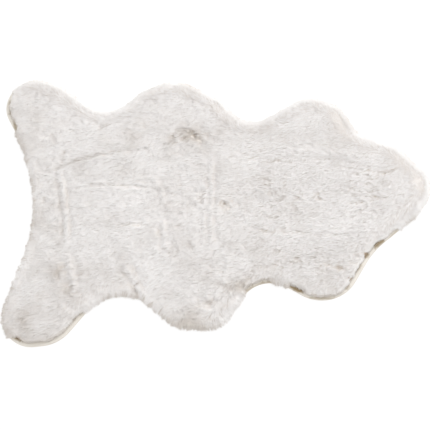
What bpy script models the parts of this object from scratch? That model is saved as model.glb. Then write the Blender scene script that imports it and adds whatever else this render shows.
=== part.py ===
"""Pelt-shaped faux fur rug, lying flat: a long-pile panel and the folded tape that binds its edge.

Metres, +Z up. The rug lies on z = 0 with its head at +X, and its box is centred on X and Y.
The panel is a lumpy slab that stands for the ground cloth and the pile on it. Its ground cloth
runs out into the slot of the binding, and its pile hangs over the binding in locks, except along
the stretches where the binding shows.
"""

import math
import random
from collections import namedtuple

import bpy
from mathutils import Vector, kdtree, noise
from mathutils.geometry import delaunay_2d_cdt

# The pile's outline is the line of a belt run round these pegs, anticlockwise from the head.
# A lobe has a positive radius and its centre in the rug, a hollow a negative one and its centre outside.
Peg = namedtuple("Peg", "place x y radius")
PELT = (
    Peg("head_tip", 0.395, 0.006, 0.063),
    Peg("head_upper", 0.346, 0.034, 0.082),
    Peg("neck_upper", 0.364, 0.186, -0.067),
    Peg("foreleg_upper_right", 0.243, 0.165, 0.052),
    Peg("foreleg_upper_left", 0.215, 0.159, 0.069),
    Peg("waist_upper", 0.090, 0.232, -0.055),
    Peg("flank_upper_right", -0.005, 0.202, 0.041),
    Peg("flank_upper", -0.087, 0.196, 0.087),
    Peg("flank_upper_left", -0.117, 0.197, 0.074),
    Peg("hip_upper", -0.228, 0.288, -0.068),
    Peg("hindleg_upper_right", -0.365, 0.233, 0.061),
    Peg("hindleg_upper_left", -0.389, 0.236, 0.067),
    Peg("rump", -0.768, 0.002, -0.376),
    Peg("hindleg_lower_left", -0.387, -0.238, 0.065),
    Peg("hindleg_lower_right", -0.372, -0.221, 0.081),
    Peg("hip_lower", -0.210, -0.286, -0.083),
    Peg("flank_lower_left", -0.074, -0.219, 0.059),
    Peg("flank_lower_right", -0.030, -0.226, 0.056),
    Peg("waist_lower", 0.096, -0.260, -0.066),
    Peg("foreleg_lower", 0.206, -0.150, 0.086),
    Peg("neck_lower", 0.451, -0.263, -0.180),
    Peg("head_lower", 0.371, -0.010, 0.071),
)

# The binding: a tape folded lengthwise round the edge of the ground cloth.
EDGE_INSET = 0.003  # from the pile's outline in to the fold of the binding
TAPE_WIDTH = 0.0095  # of the folded tape, seen from above
TAPE_UNEVEN = 0.0004  # how far its inner edge wanders
TAPE_THICK = 0.001
SLOT_LOW = TAPE_THICK
SLOT_HIGH = 0.0034
TAPE_HIGH = SLOT_HIGH + TAPE_THICK
GAP = 0.0003  # between the cloth and the binding
TAPE_BEND = 0.0012  # how far the fold is rounded, across and in height
TAPE_STATIONS = 160  # cross-sections round the edge

# The ground cloth's rim in the slot, as heights.
CLOTH_LOW = SLOT_LOW + GAP
CLOTH_HIGH = SLOT_HIGH - GAP
CLOTH_DROP = 0.002  # across, where the cloth comes down from the slot to the floor
PILE_LOW = TAPE_HIGH + 0.0005  # underside of the pile where it hangs over the binding
PILE_ROOT = PILE_LOW - 0.0002  # the same beside the tape's inner edge

# The pile's rounded rim, as insets from the fold and heights.
RIM_INSET = 0.0025
RIM_INSET_BARE = 0.0106
RIM_HIGH = 0.0120
RIM_LEAN = 0.0005  # inwards, from the rim's foot to its top
SHOULDER_IN = 0.007  # from the rim in to the shoulder
RIM_UNEVEN = 0.0012  # height of the small tufts along the rim
SHOULDER_HIGH = 0.0155
SHOULDER_STATIONS = 240
CROWN_INSET = 0.024  # where the rounding ends
CROWN_STATIONS = 200
PILE_HIGH = 0.0172  # of the full pile, without its lumps

# Locks at the rim.
LOCK_PITCH = 0.0125
LOCK_MARGIN = (0.04, 0.15)  # of the pitch, left free at each side of a lock's root
LOCK_UNEVEN = 0.4  # share by which a lock's reach departs from its place's
LOCK_KNEE_OUT = 0.0020  # past the fold, where the lock turns down
LOCK_KNEE_SIZE = 0.80  # of the root's width and height
LOCK_KNEE_DROP = 0.0010
LOCK_LEAN = 0.0060  # sideways, at the tip
LOCK_TIP_LOW = 0.0002
LOCK_TIP_HIGH = 0.0016

# Where the binding shows, the locks are short and lie on it: insets from the fold and height.
SHORT_KNEE_INSET = 0.0088
SHORT_TIP_INSET = 0.0062
SHORT_TIP_HIGH = 0.0060
SHORT_FROM = 0.3  # of the bareness

# Points of the surfaces.
HALF_LENGTH = 0.46
HALF_BREADTH = 0.30
GRID = 0.0165
GRID_JITTER = 0.0040
FLOOR_INSET = 0.030
FLOOR_GRID = 0.060
EDGE_SAMPLES = 600  # points of the edge, to find how far inside it a point lies
MERGE = 1e-7
CREASE_STEP = 0.012
CREASE_SIDE = 0.009  # the rows of points at each side of a crease
CREASE_CLEAR = 0.0085  # no grid point stands nearer to a crease's rows
CREASE_APART = 0.0050  # nor does one point of those rows to another
CREASE_FADE = 0.25  # share of its length in which each end fades out
SEED = 11

# Stretches where the pile stands back and the binding shows: all of the edge inside each circle.
Bare = namedtuple("Bare", "place x y reach")
BARE = (
    Bare("hindleg_upper_side", -0.447, 0.225, 0.056),
    Bare("hindleg_lower_toe", -0.392, -0.296, 0.048),
    Bare("hindleg_lower_front", -0.318, -0.267, 0.054),
    Bare("waist_lower", 0.062, -0.203, 0.032),
    Bare("foreleg_lower_back", 0.160, -0.222, 0.038),
    Bare("foreleg_lower_toe", 0.220, -0.234, 0.046),
    Bare("neck_lower_back", 0.276, -0.194, 0.046),
    Bare("neck_lower", 0.310, -0.142, 0.042),
    Bare("head_lower", 0.352, -0.111, 0.038),
)
BARE_BLEND = 0.014

# How far the locks reach past the fold at these places. Between them it is blended by distance.
Tuft = namedtuple("Tuft", "place x y reach")
TUFTS = (
    Tuft("head", 0.450, 0.010, 0.0045),
    Tuft("foreleg_upper", 0.220, 0.225, 0.0045),
    Tuft("flank_upper", -0.070, 0.280, 0.0060),
    Tuft("hindleg_upper", -0.390, 0.295, 0.0045),
    Tuft("rump_upper", -0.410, 0.110, 0.0080),
    Tuft("rump", -0.395, 0.000, 0.0050),
    Tuft("rump_lower", -0.425, -0.150, 0.0085),
    Tuft("hindleg_lower", -0.390, -0.295, 0.0050),
    Tuft("hip_lower", -0.210, -0.205, 0.0085),
    Tuft("flank_lower", -0.050, -0.280, 0.0090),
    Tuft("foreleg_lower", 0.210, -0.230, 0.0050),
    Tuft("neck_lower", 0.400, -0.080, 0.0070),
)

# Creases of the folded cloth, each a trough on a bow through three points, with a ridge at one side of it
# or at both. Left and right are as seen from the first point towards the last.
Crease = namedtuple("Crease", "place x1 y1 x2 y2 x3 y3 half_width depth left_ridge right_ridge")
CREASES = (
    Crease("rump_cross", -0.338, 0.105, -0.322, 0.000, -0.317, -0.110, 0.005, 0.0070, 0.0020, 0.0),
    Crease("rump_cross_low", -0.318, -0.105, -0.310, -0.155, -0.303, -0.205, 0.008, 0.0045, 0.0, 0.0015),
    Crease("hip_arch", -0.375, 0.066, -0.258, 0.108, -0.125, 0.120, 0.006, 0.0055, 0.0, 0.0030),
    Crease("back_upper", -0.305, 0.034, -0.216, 0.041, -0.130, 0.031, 0.005, 0.0045, 0.0, 0.0020),
    Crease("flank_cross", -0.143, 0.074, -0.116, 0.010, -0.098, -0.036, 0.006, 0.0045, 0.0015, 0.0),
    Crease("flank_cross_low", -0.119, -0.045, -0.114, -0.085, -0.113, -0.125, 0.005, 0.0035, 0.0, 0.0015),
    Crease("back_dash", -0.204, -0.048, -0.174, -0.050, -0.140, -0.050, 0.004, 0.0045, 0.0, 0.0010),
    Crease("waist_cross", -0.003, 0.125, -0.013, -0.005, -0.020, -0.135, 0.004, 0.0010, 0.0025, 0.0020),
    Crease("flank_parting", -0.082, 0.160, -0.048, 0.154, -0.006, 0.124, 0.008, 0.0075, 0.0015, 0.0020),
    Crease("neck_upper", 0.085, 0.080, 0.235, 0.077, 0.400, 0.032, 0.007, 0.0016, 0.0034, 0.0),
    Crease("foreleg_upper_root", 0.125, 0.122, 0.215, 0.114, 0.305, 0.104, 0.014, 0.0050, 0.0, 0.0020),
    Crease("shoulder_lower", 0.120, -0.074, 0.215, -0.092, 0.312, -0.103, 0.006, 0.0040, 0.0025, 0.0020),
    Crease("hip_lower", -0.200, -0.132, -0.184, -0.166, -0.165, -0.206, 0.006, 0.0060, 0.0015, 0.0),
    Crease("flank_lower_swirl", -0.044, -0.212, -0.024, -0.229, -0.008, -0.210, 0.008, 0.0065, 0.0010, 0.0015),
)
RIDGE_AWAY = 1.8  # from the trough to a ridge's crown, in the trough's half widths
RIDGE_WIDTH = 1.5  # half width of a ridge, in the same

# Lumps of the pile, each band of noise stretched along X by its length and along Y by its breadth.
Lump = namedtuple("Lump", "place length breadth height")
LUMPS = (
    Lump("swell", 0.110, 0.070, 0.0022),
    Lump("tuft", 0.046, 0.034, 0.0052),
    Lump("clump", 0.026, 0.020, 0.0056),
)
SMOOTH_END = -0.26  # the hind part's pile is combed flat
ROUGH_START = -0.06
SMOOTH_SHARE = 0.45

FUR_COLOUR = (0.79, 0.76, 0.73, 1.0)
FUR_ROUGHNESS = 0.95
TAPE_COLOUR = (0.83, 0.75, 0.60, 1.0)
TAPE_ROUGHNESS = 0.80


def smooth_step(low, high, value):
    share = min(max((value - low) / (high - low), 0.0), 1.0)
    return share * share * (3.0 - 2.0 * share)


def mix(a, b, share):
    return a + (b - a) * share


class Edge:
    """A belt round the pegs, inset from their outline and measured by its length."""

    def __init__(self, pegs, inset):
        rounds = [(Vector((peg.x, peg.y)), peg.radius - inset) for peg in pegs]
        leaving = [self.tangent(a, b) for a, b in zip(rounds, rounds[1:] + rounds[:1])]
        self.runs = []
        self.length = 0.0
        for i, (centre, radius) in enumerate(rounds):
            start, end = leaving[i - 1], leaving[i]
            turn = (end - start) % math.tau if radius > 0 else -((start - end) % math.tau)
            self.add(abs(turn * radius), centre, radius, start, turn, Vector((0.0, 0.0)))
            following, reach = rounds[(i + 1) % len(rounds)]
            normal = Vector((math.cos(end), math.sin(end)))
            straight = following + normal * reach - centre - normal * radius
            self.add(straight.length, centre, radius, end, 0.0, straight)

    def add(self, length, centre, radius, start, turn, straight):
        self.runs.append((self.length, length, centre, radius, start, turn, straight))
        self.length += length

    @staticmethod
    def tangent(a, b):
        """The direction of the outward normal on the straight run from one round to the next."""
        across = b[0] - a[0]
        slant = math.asin((a[1] - b[1]) / across.length)
        return math.atan2(across.y, across.x) - math.pi / 2 + slant

    def at(self, share, inset=0.0):
        """The point at this share of the way round, that far inside the belt, and its outward normal."""
        way = (share % 1.0) * self.length
        run = next(run for run in reversed(self.runs) if run[0] <= way)
        begin, length, centre, radius, start, turn, straight = run
        part = (way - begin) / length
        angle = start + turn * part
        normal = Vector((math.cos(angle), math.sin(angle)))
        return centre + normal * (radius - inset) + straight * part, normal


class Shell:
    """Points and faces of a closed body, built as rings that run anticlockwise seen from above."""

    def __init__(self):
        self.points = []
        self.faces = []

    def ring(self, places):
        """Adds the points of (share, point) pairs, and returns (share, index) pairs."""
        first = len(self.points)
        self.points.extend(point for _, point in places)
        return [(share, first + i) for i, (share, _) in enumerate(places)]

    def band(self, ring, following):
        """Triangles from one ring to the next, which lies outside it on the underside or inside it on top."""
        a = ring + [(ring[0][0] + 1.0, ring[0][1])]
        b = following + [(following[0][0] + 1.0, following[0][1])]
        i = j = 0
        while i < len(ring) or j < len(following):
            ahead = j == len(following) or (i < len(ring) and a[i + 1][0] <= b[j + 1][0])
            if ahead:
                self.faces.append((a[i][1], a[i + 1][1], b[j][1]))
                i += 1
            else:
                self.faces.append((a[i][1], b[j + 1][1], b[j][1]))
                j += 1

    def fill(self, ring, inner, height, faces_up):
        """Closes a ring with triangles through the inner points, each lifted to its height."""
        border = [Vector(self.points[index][:2]) for _, index in ring]
        flat = border + inner
        first = len(self.points)
        self.points.extend(Vector((p.x, p.y, height(p))) for p in inner)
        found = delaunay_2d_cdt(flat, [], [list(range(len(border)))], 1, MERGE)
        index_of = [index for _, index in ring] + list(range(first, first + len(inner)))
        for a, b, c in found[2]:
            a, b, c = (index_of[found[3][v][0]] for v in (a, b, c))
            self.faces.append((a, b, c) if faces_up else (a, c, b))

    def make(self, name, colour, roughness):
        mesh = bpy.data.meshes.new(name)
        mesh.from_pydata([tuple(point) for point in self.points], [], self.faces)
        mesh.shade_smooth()
        mesh.set_sharp_from_angle(angle=math.radians(50))
        material = bpy.data.materials.new(name)
        material.use_nodes = True
        shader = material.node_tree.nodes["Principled BSDF"]
        shader.inputs["Base Color"].default_value = colour
        shader.inputs["Roughness"].default_value = roughness
        shader.inputs["Metallic"].default_value = 0.0
        mesh.materials.append(material)
        obj = bpy.data.objects.new(name, mesh)
        bpy.context.scene.collection.objects.link(obj)
        return obj


EDGE = Edge(PELT, EDGE_INSET)


def even_shares(count):
    return [i / count for i in range(count)]


def tape_width(share):
    """The folded tape's width, which wanders a little along the edge."""
    turn = share * math.tau
    return TAPE_WIDTH + TAPE_UNEVEN * (math.sin(17 * turn) + math.sin(41 * turn + 1.3)) / 2


def bareness(point):
    """1 where the binding shows, 0 where the pile hangs over it, and between them on the way."""
    found = 0.0
    for place in BARE:
        away = (point - Vector((place.x, place.y))).length
        found = max(found, 1.0 - smooth_step(place.reach - BARE_BLEND, place.reach, away))
    return found


def tuft_reach(point):
    """How far the locks there reach past the fold, blended from the named places."""
    total = weight_sum = 0.0
    for tuft in TUFTS:
        weight = 1.0 / ((point - Vector((tuft.x, tuft.y))).length_squared + 1e-4) ** 2
        total += tuft.reach * weight
        weight_sum += weight
    return total / weight_sum


def rim_inset(share):
    return mix(RIM_INSET, RIM_INSET_BARE, bareness(EDGE.at(share)[0]))


def bow(crease, share):
    """The point at this share of a crease, on the parabola through its three points."""
    start, middle, end = (Vector(crease[i : i + 2]) for i in (1, 3, 5))
    control = 2 * middle - (start + end) / 2
    return start.lerp(control, share).lerp(control.lerp(end, share), share)


def crease_rows():
    """For each crease, its points with the direction and the share of its length at each."""
    rows = []
    for crease in CREASES:
        length = (bow(crease, 0.5) - bow(crease, 0)).length + (bow(crease, 1) - bow(crease, 0.5)).length
        count = max(2, round(length / CREASE_STEP))
        points = [bow(crease, i / count) for i in range(count + 1)]
        row = []
        for i, point in enumerate(points):
            along = (points[min(i + 1, count)] - points[max(i - 1, 0)]).normalized()
            row.append((point, along, i / count))
        rows.append((crease, row))
    return rows


CREASE_ROWS = crease_rows()


def crease_height(point):
    """What the creases take from the pile's height at this point, or add to it."""
    height = 0.0
    for crease, row in CREASE_ROWS:
        place, along, share = min(row, key=lambda step: (step[0] - point).length_squared)
        away = point - place
        aside = along.x * away.y - along.y * away.x
        past = abs(along.dot(away))
        ends = smooth_step(0, CREASE_FADE, share) * smooth_step(0, CREASE_FADE, 1 - share)
        fade = ends * (1 - smooth_step(CREASE_STEP, 2 * CREASE_STEP, past))
        across = aside / crease.half_width
        profile = -crease.depth * math.exp(-(across**2))
        for ridge, side in ((crease.left_ridge, 1), (crease.right_ridge, -1)):
            profile += ridge * math.exp(-(((across - side * RIDGE_AWAY) / RIDGE_WIDTH) ** 2))
        height += fade * profile
    return height


def lump_height(point):
    rough = mix(SMOOTH_SHARE, 1.0, smooth_step(SMOOTH_END, ROUGH_START, point.x))
    height = 0.0
    for i, lump in enumerate(LUMPS):
        place = Vector((point.x / lump.length, point.y / lump.breadth, SEED + 7.3 * i))
        height += lump.height * rough * noise.noise(place)
    return height


def pile_height(point):
    return PILE_HIGH + lump_height(point) + crease_height(point)


def edge_ring(shell, shares, inset, height):
    """A ring at an inset and a height that are each a number or a function of the share."""
    places = []
    for share in shares:
        inward = inset(share) if callable(inset) else inset
        point = EDGE.at(share, inward)[0]
        upward = height(point) if callable(height) else height
        places.append((share, Vector((point.x, point.y, upward))))
    return shell.ring(places)


def make_binding():
    """A closed ring of folded tape, with the slot for the ground cloth open to the inside."""
    section = (
        (tape_width, 0.0),
        (TAPE_BEND, 0.0),
        (0.0, TAPE_BEND),
        (0.0, TAPE_HIGH - TAPE_BEND),
        (1.5 * TAPE_BEND, TAPE_HIGH),
        (tape_width, TAPE_HIGH - 0.1 * TAPE_THICK),
        (tape_width, SLOT_HIGH),
        (TAPE_THICK, SLOT_HIGH),
        (TAPE_THICK, SLOT_LOW),
        (tape_width, SLOT_LOW),
    )
    shell = Shell()
    shares = even_shares(TAPE_STATIONS)
    rings = [edge_ring(shell, shares, inset, height) for inset, height in section]
    for ring, following in zip(rings, rings[1:] + rings[:1]):
        shell.band(ring, following)
    return shell.make("binding", TAPE_COLOUR, TAPE_ROUGHNESS)


def beside_tape(share):
    return tape_width(share) + 1.2 * GAP


def inside_tape(share):
    return tape_width(share) + CLOTH_DROP


def add_underside(shell):
    """The flat underside, the ground cloth's rim in the slot and the pile's underside over the tape."""
    shares = even_shares(TAPE_STATIONS)
    inner = edge_ring(shell, shares, FLOOR_INSET, 0.0)
    grid = grid_points(FLOOR_GRID, 0.0, FLOOR_INSET + FLOOR_GRID / 4)
    shell.fill(inner, grid, lambda point: 0.0, faces_up=False)
    section = (
        (inside_tape, 0.0),
        (beside_tape, CLOTH_LOW),
        (TAPE_THICK + GAP, CLOTH_LOW),
        (TAPE_THICK + GAP, CLOTH_HIGH),
        (beside_tape, CLOTH_HIGH),
        (beside_tape, PILE_ROOT),
    )
    last = inner
    for inset, height in section:
        ring = edge_ring(shell, shares, inset, height)
        shell.band(last, ring)
        last = ring
    return last


def lock_roots(chance):
    """Pairs of shares, the two sides of each lock's root, unevenly round the edge."""
    count = round(EDGE.length / LOCK_PITCH)
    return [
        ((i + chance.uniform(*LOCK_MARGIN)) / count, (i + 1 - chance.uniform(*LOCK_MARGIN)) / count)
        for i in range(count)
    ]


def lock_tip(place, bare, chance):
    """How far past the fold a lock's tip lies, and its height."""
    if bare:
        return -SHORT_TIP_INSET * chance.uniform(0.8, 1.2), SHORT_TIP_HIGH
    reach = tuft_reach(place) * chance.uniform(1 - LOCK_UNEVEN, 1 + LOCK_UNEVEN)
    return reach, chance.uniform(LOCK_TIP_LOW, LOCK_TIP_HIGH)


def add_lock(shell, root, share, chance):
    """A lock of four sides: from its root on the rim out to its knee, and from there to its tip."""
    place, normal = EDGE.at(share)
    bare = bareness(place) > SHORT_FROM
    out = normal.to_3d()
    aside = Vector((-normal.y, normal.x, 0.0))
    corners = [shell.points[index] for index in root]
    centre = sum(corners, Vector()) / len(corners)
    flow = noise.noise(Vector((22 * place.x, 22 * place.y, SEED))) + chance.uniform(-0.5, 0.5)
    lean = aside * LOCK_LEAN * flow * (0.5 if bare else 1.0)
    past = -SHORT_KNEE_INSET if bare else LOCK_KNEE_OUT
    knee = centre + out * ((place.to_3d() - centre).dot(out) + past) + lean * 0.4
    knee.z -= 0.0 if bare else LOCK_KNEE_DROP
    reach, tip_height = lock_tip(place, bare, chance)
    tip = place.to_3d() + out * reach + lean
    tip.z = tip_height
    first = len(shell.points)
    shell.points.extend(knee + (corner - centre) * LOCK_KNEE_SIZE for corner in corners)
    shell.points.append(tip)
    for i in range(4):
        j = (i + 1) % 4
        shell.faces.append((root[i], root[j], first + j, first + i))
        shell.faces.append((first + i, first + j, first + 4))


def wall_inset(share):
    return rim_inset(share) + RIM_LEAN


def shoulder_inset(share):
    return rim_inset(share) + SHOULDER_IN


def rim_height(point):
    ripple = noise.noise(Vector((point.x / LOCK_PITCH, point.y / LOCK_PITCH, SEED)))
    return RIM_HIGH + 0.5 * lump_height(point) + RIM_UNEVEN * ripple


def shoulder_height(point):
    ripple = noise.noise(Vector((point.x / LOCK_PITCH, point.y / LOCK_PITCH, 2 * SEED)))
    return SHOULDER_HIGH + lump_height(point) + RIM_UNEVEN * ripple


def add_rim(shell, below):
    """The pile's rim: a low wall with the locks, rounded off into the crown."""
    chance = random.Random(SEED)
    pairs = lock_roots(chance)
    shares = [share for pair in pairs for share in pair]
    foot = edge_ring(shell, shares, rim_inset, PILE_LOW)
    wall = edge_ring(shell, shares, wall_inset, rim_height)
    shell.band(below, foot)
    for i, pair in enumerate(pairs):
        start, end, after = 2 * i, 2 * i + 1, (2 * i + 2) % len(shares)
        shell.faces.append((foot[end][1], foot[after][1], wall[after][1], wall[end][1]))
        root = (foot[start][1], foot[end][1], wall[end][1], wall[start][1])
        add_lock(shell, root, sum(pair) / 2, chance)
    shoulder = edge_ring(shell, even_shares(SHOULDER_STATIONS), shoulder_inset, shoulder_height)
    crown = edge_ring(shell, even_shares(CROWN_STATIONS), CROWN_INSET, pile_height)
    shell.band(wall, shoulder)
    shell.band(shoulder, crown)
    return crown


def grid_points(pitch, jitter, inset):
    """Staggered rows of points over the rug, those that lie at least this far inside the edge."""
    chance = random.Random(SEED)
    border = kdtree.KDTree(EDGE_SAMPLES)
    normals = []
    for i, share in enumerate(even_shares(EDGE_SAMPLES)):
        point, normal = EDGE.at(share)
        border.insert((point.x, point.y, 0.0), i)
        normals.append(normal)
    border.balance()
    row_pitch = pitch * math.sqrt(3) / 2
    rows = int(HALF_BREADTH / row_pitch)
    columns = int(HALF_LENGTH / pitch)
    kept = []
    for row in range(-rows, rows + 1):
        for column in range(-columns, columns + 1):
            x = (column + 0.5 * (row % 2)) * pitch + chance.uniform(-jitter, jitter)
            y = row * row_pitch + chance.uniform(-jitter, jitter)
            near, index, _ = border.find((x, y, 0.0))
            depth = (near.xy - Vector((x, y))).dot(normals[index])
            if depth > inset:
                kept.append(Vector((x, y)))
    return kept


def crown_points():
    """Points of the pile's surface: rows along the creases, and a grid that keeps clear of them."""
    rows = []
    for _, row in CREASE_ROWS:
        for point, along, _ in row:
            side = Vector((-along.y, along.x)) * CREASE_SIDE
            rows.extend((point, point + side, point - side))
    kept = []
    for point in rows:
        if all((point - other).length > CREASE_APART for other in kept):
            kept.append(point)
    near = kdtree.KDTree(len(kept))
    for i, point in enumerate(kept):
        near.insert((point.x, point.y, 0.0), i)
    near.balance()
    grid = grid_points(GRID, GRID_JITTER, CROWN_INSET + GRID / 2)
    return kept + [p for p in grid if near.find((p.x, p.y, 0.0))[2] > CREASE_CLEAR]


def make_fur_panel():
    """The ground cloth and its pile as one body, with the creases, lumps and rim locks."""
    shell = Shell()
    below = add_underside(shell)
    crown = add_rim(shell, below)
    shell.fill(crown, crown_points(), pile_height, faces_up=True)
    return shell.make("fur_panel", FUR_COLOUR, FUR_ROUGHNESS)


def centre_on_floor(objects):
    """Moves the meshes so that their common box is centred on X and Y."""
    points = [vertex.co for obj in objects for vertex in obj.data.vertices]
    shift = Vector((0.0, 0.0, 0.0))
    for axis in (0, 1):
        values = [point[axis] for point in points]
        shift[axis] = -(min(values) + max(values)) / 2
    for point in points:
        point += shift


def main():
    for obj in list(bpy.data.objects):
        bpy.data.objects.remove(obj, do_unlink=True)
    centre_on_floor([make_fur_panel(), make_binding()])


main()
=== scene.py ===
"""Pelt-shaped faux fur rug on a white floor, seen from above.

Metres, +Z up. The rug lies on z = 0 with its head at +X. Its pieces are the ground cloth with the dense
underfur that stands on it, the folded tape that binds its edge with the tape's seam, and the long pile:
five lengths of the coat and the tufts that hang over the edge.

Places in the tables are in the pattern's own frame. seat_on_frame moves each finished piece from there to
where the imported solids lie.
"""

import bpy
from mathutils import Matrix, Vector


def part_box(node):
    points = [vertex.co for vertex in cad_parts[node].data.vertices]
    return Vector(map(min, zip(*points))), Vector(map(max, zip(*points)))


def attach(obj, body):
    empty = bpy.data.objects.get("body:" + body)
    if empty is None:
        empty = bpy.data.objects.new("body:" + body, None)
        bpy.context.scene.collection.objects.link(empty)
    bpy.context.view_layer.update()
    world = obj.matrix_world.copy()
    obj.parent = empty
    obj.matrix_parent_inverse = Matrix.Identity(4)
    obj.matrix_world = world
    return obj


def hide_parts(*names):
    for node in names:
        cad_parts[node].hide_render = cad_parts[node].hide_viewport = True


bl_info = {
    "name": "Pelt Shaped Fur Rug",
    "version": (1, 0, 0),
    "blender": (4, 5, 0),
    "location": "3D View > Sidebar > Fur Rug",
    "description": "Makes a pelt shaped faux fur rug with its ground cloth, binding and long pile",
    "category": "Add Mesh",
}

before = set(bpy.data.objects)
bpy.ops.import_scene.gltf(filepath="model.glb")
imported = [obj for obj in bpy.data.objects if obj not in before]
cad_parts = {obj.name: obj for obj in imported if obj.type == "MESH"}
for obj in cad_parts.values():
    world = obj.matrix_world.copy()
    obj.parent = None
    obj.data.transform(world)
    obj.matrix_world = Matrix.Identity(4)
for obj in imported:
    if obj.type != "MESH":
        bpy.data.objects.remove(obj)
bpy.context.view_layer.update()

import functools
import math
import random
from collections import namedtuple

import bpy
from mathutils import Matrix, Vector, kdtree, noise
from mathutils.geometry import delaunay_2d_cdt

SEED = 11  # fixes what is random in the shapes

# The noise that makes things uneven: how many waves it has to a metre, and the layer that it is read from.
Wave = namedtuple("Wave", "per_metre layer")
SPOT_WAVE = Wave(210, 2.3 * SEED)  # ragged edges of the bare spots
CROOKED_WAVE = Wave(55, SEED)  # creases that stray from their bow
BROKEN_WAVE = Wave(80, 1.7 * SEED)  # their uneven depth
JAG_WAVE = Wave(90, 3 * SEED)  # the coat's reach past the fold
RIM_JAG_WAVE = Wave(75, 3 * SEED)  # the reach of the tufts over the edge
LEAN_WAVE = Wave(24, SEED)  # how they lean to either side, in groups and one by one
FINE_LEAN_WAVE = Wave(95, SEED)
FLOW_WAVE = Wave(22, SEED)  # how the tips of whole locks lean
TAPE_SHADE_WAVE = Wave(38, 2 * SEED)  # the painted shade on the tape
SWIRL_LAYER = 3.1 * SEED
LUMP_LAYERS = 7.3  # from one band of lumps to the next
PATCH_LAYER = 5.7 * SEED

# The pile's outline is the line of a belt run round these pegs, anticlockwise from the head.
# A lobe has a positive radius and its centre in the rug, a hollow a negative one and its centre outside.
Peg = namedtuple("Peg", "place x y radius")
PELT = (
    Peg("head_tip", 0.395, 0.006, 0.063),
    Peg("head_upper", 0.346, 0.034, 0.082),
    Peg("neck_upper", 0.364, 0.186, -0.067),
    Peg("foreleg_upper_right", 0.243, 0.165, 0.052),
    Peg("foreleg_upper_left", 0.215, 0.159, 0.069),
    Peg("waist_upper", 0.090, 0.232, -0.055),
    Peg("flank_upper_right", -0.005, 0.202, 0.041),
    Peg("flank_upper", -0.087, 0.196, 0.087),
    Peg("flank_upper_left", -0.117, 0.197, 0.074),
    Peg("hip_upper", -0.228, 0.288, -0.068),
    Peg("hindleg_upper_right", -0.365, 0.233, 0.061),
    Peg("hindleg_upper_left", -0.389, 0.236, 0.067),
    Peg("rump", -0.768, 0.002, -0.376),
    Peg("hindleg_lower_left", -0.387, -0.238, 0.065),
    Peg("hindleg_lower_right", -0.372, -0.221, 0.081),
    Peg("hip_lower", -0.210, -0.286, -0.083),
    Peg("flank_lower_left", -0.074, -0.219, 0.059),
    Peg("flank_lower_right", -0.030, -0.226, 0.056),
    Peg("waist_lower", 0.096, -0.260, -0.066),
    Peg("foreleg_lower", 0.206, -0.150, 0.086),
    Peg("neck_lower", 0.451, -0.263, -0.180),
    Peg("head_lower", 0.371, -0.010, 0.071),
)
EDGE_INSET = 0.003  # from the pile's outline in to the fold of the binding

# Stretches where the pile stands back and the binding shows: all of the edge inside each circle. The share
# is 1 where all of the tape shows, and less where tips hang over its inner part.
Bare = namedtuple("Bare", "place x y reach share")
BARE = (
    Bare("hindleg_upper_side", -0.447, 0.225, 0.056, 1.0),
    Bare("hindleg_lower_toe", -0.392, -0.296, 0.048, 1.0),
    Bare("hindleg_lower_front", -0.318, -0.267, 0.054, 1.0),
    Bare("waist_lower", 0.072, -0.198, 0.032, 0.8),
    Bare("foreleg_lower_back", 0.160, -0.222, 0.038, 0.75),
    Bare("foreleg_lower_toe", 0.220, -0.234, 0.046, 0.55),
    Bare("neck_lower_back", 0.276, -0.194, 0.046, 1.0),
    Bare("neck_lower", 0.310, -0.142, 0.042, 1.0),
    Bare("head_lower", 0.352, -0.111, 0.038, 0.55),
)
BARE_BLEND = 0.014

# Spots beside the binding where the pile parts down to the ground cloth, which is painted dark brown there as
# painted shadow.
# Each is a run between two points, with its half width and the share to which it is bare.
Patch = namedtuple("Patch", "place x1 y1 x2 y2 half_width share")
PATCHES = (
    Patch("hindleg_upper_high", -0.445, 0.253, -0.443, 0.241, 0.0025, 0.50),
    Patch("hindleg_upper_middle", -0.443, 0.231, -0.440, 0.219, 0.0029, 0.55),
    Patch("hindleg_upper_low", -0.435, 0.202, -0.428, 0.180, 0.0029, 0.70),
    Patch("hindleg_lower_toe", -0.421, -0.280, -0.409, -0.284, 0.0045, 0.82),
    Patch("hindleg_lower_toe_inner", -0.384, -0.277, -0.380, -0.284, 0.0030, 0.30),
    Patch("hindleg_lower_front", -0.310, -0.248, -0.302, -0.243, 0.0040, 0.45),
    Patch("hindleg_lower_front_end", -0.296, -0.237, -0.286, -0.231, 0.0034, 0.40),
    Patch("waist_lower_left", 0.046, -0.206, 0.078, -0.191, 0.0028, 0.62),
    Patch("waist_lower", 0.078, -0.191, 0.104, -0.189, 0.0030, 0.75),
    Patch("foreleg_lower_back", 0.142, -0.201, 0.163, -0.212, 0.0050, 1.00),
    Patch("foreleg_lower_toe", 0.176, -0.226, 0.227, -0.230, 0.0028, 0.62),
    Patch("foreleg_lower_front", 0.251, -0.210, 0.258, -0.204, 0.0034, 0.62),
    Patch("foreleg_lower_side", 0.260, -0.196, 0.265, -0.188, 0.0036, 0.75),
    Patch("neck_lower_line", 0.271, -0.180, 0.289, -0.162, 0.0024, 0.58),
    Patch("neck_lower", 0.297, -0.145, 0.304, -0.137, 0.0056, 0.90),
    Patch("head_lower", 0.322, -0.121, 0.339, -0.112, 0.0068, 0.92),
    Patch("head_lower_end", 0.352, -0.108, 0.372, -0.091, 0.0026, 0.60),
)
SPOT_RAGGED = 0.9  # how uneven its edge is
SPOT_TAPER = 0.45  # share by which it is narrower at its ends
SPOT_FADE = (0.4, 1.6)  # in half widths from its middle, between which it fades out

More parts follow.
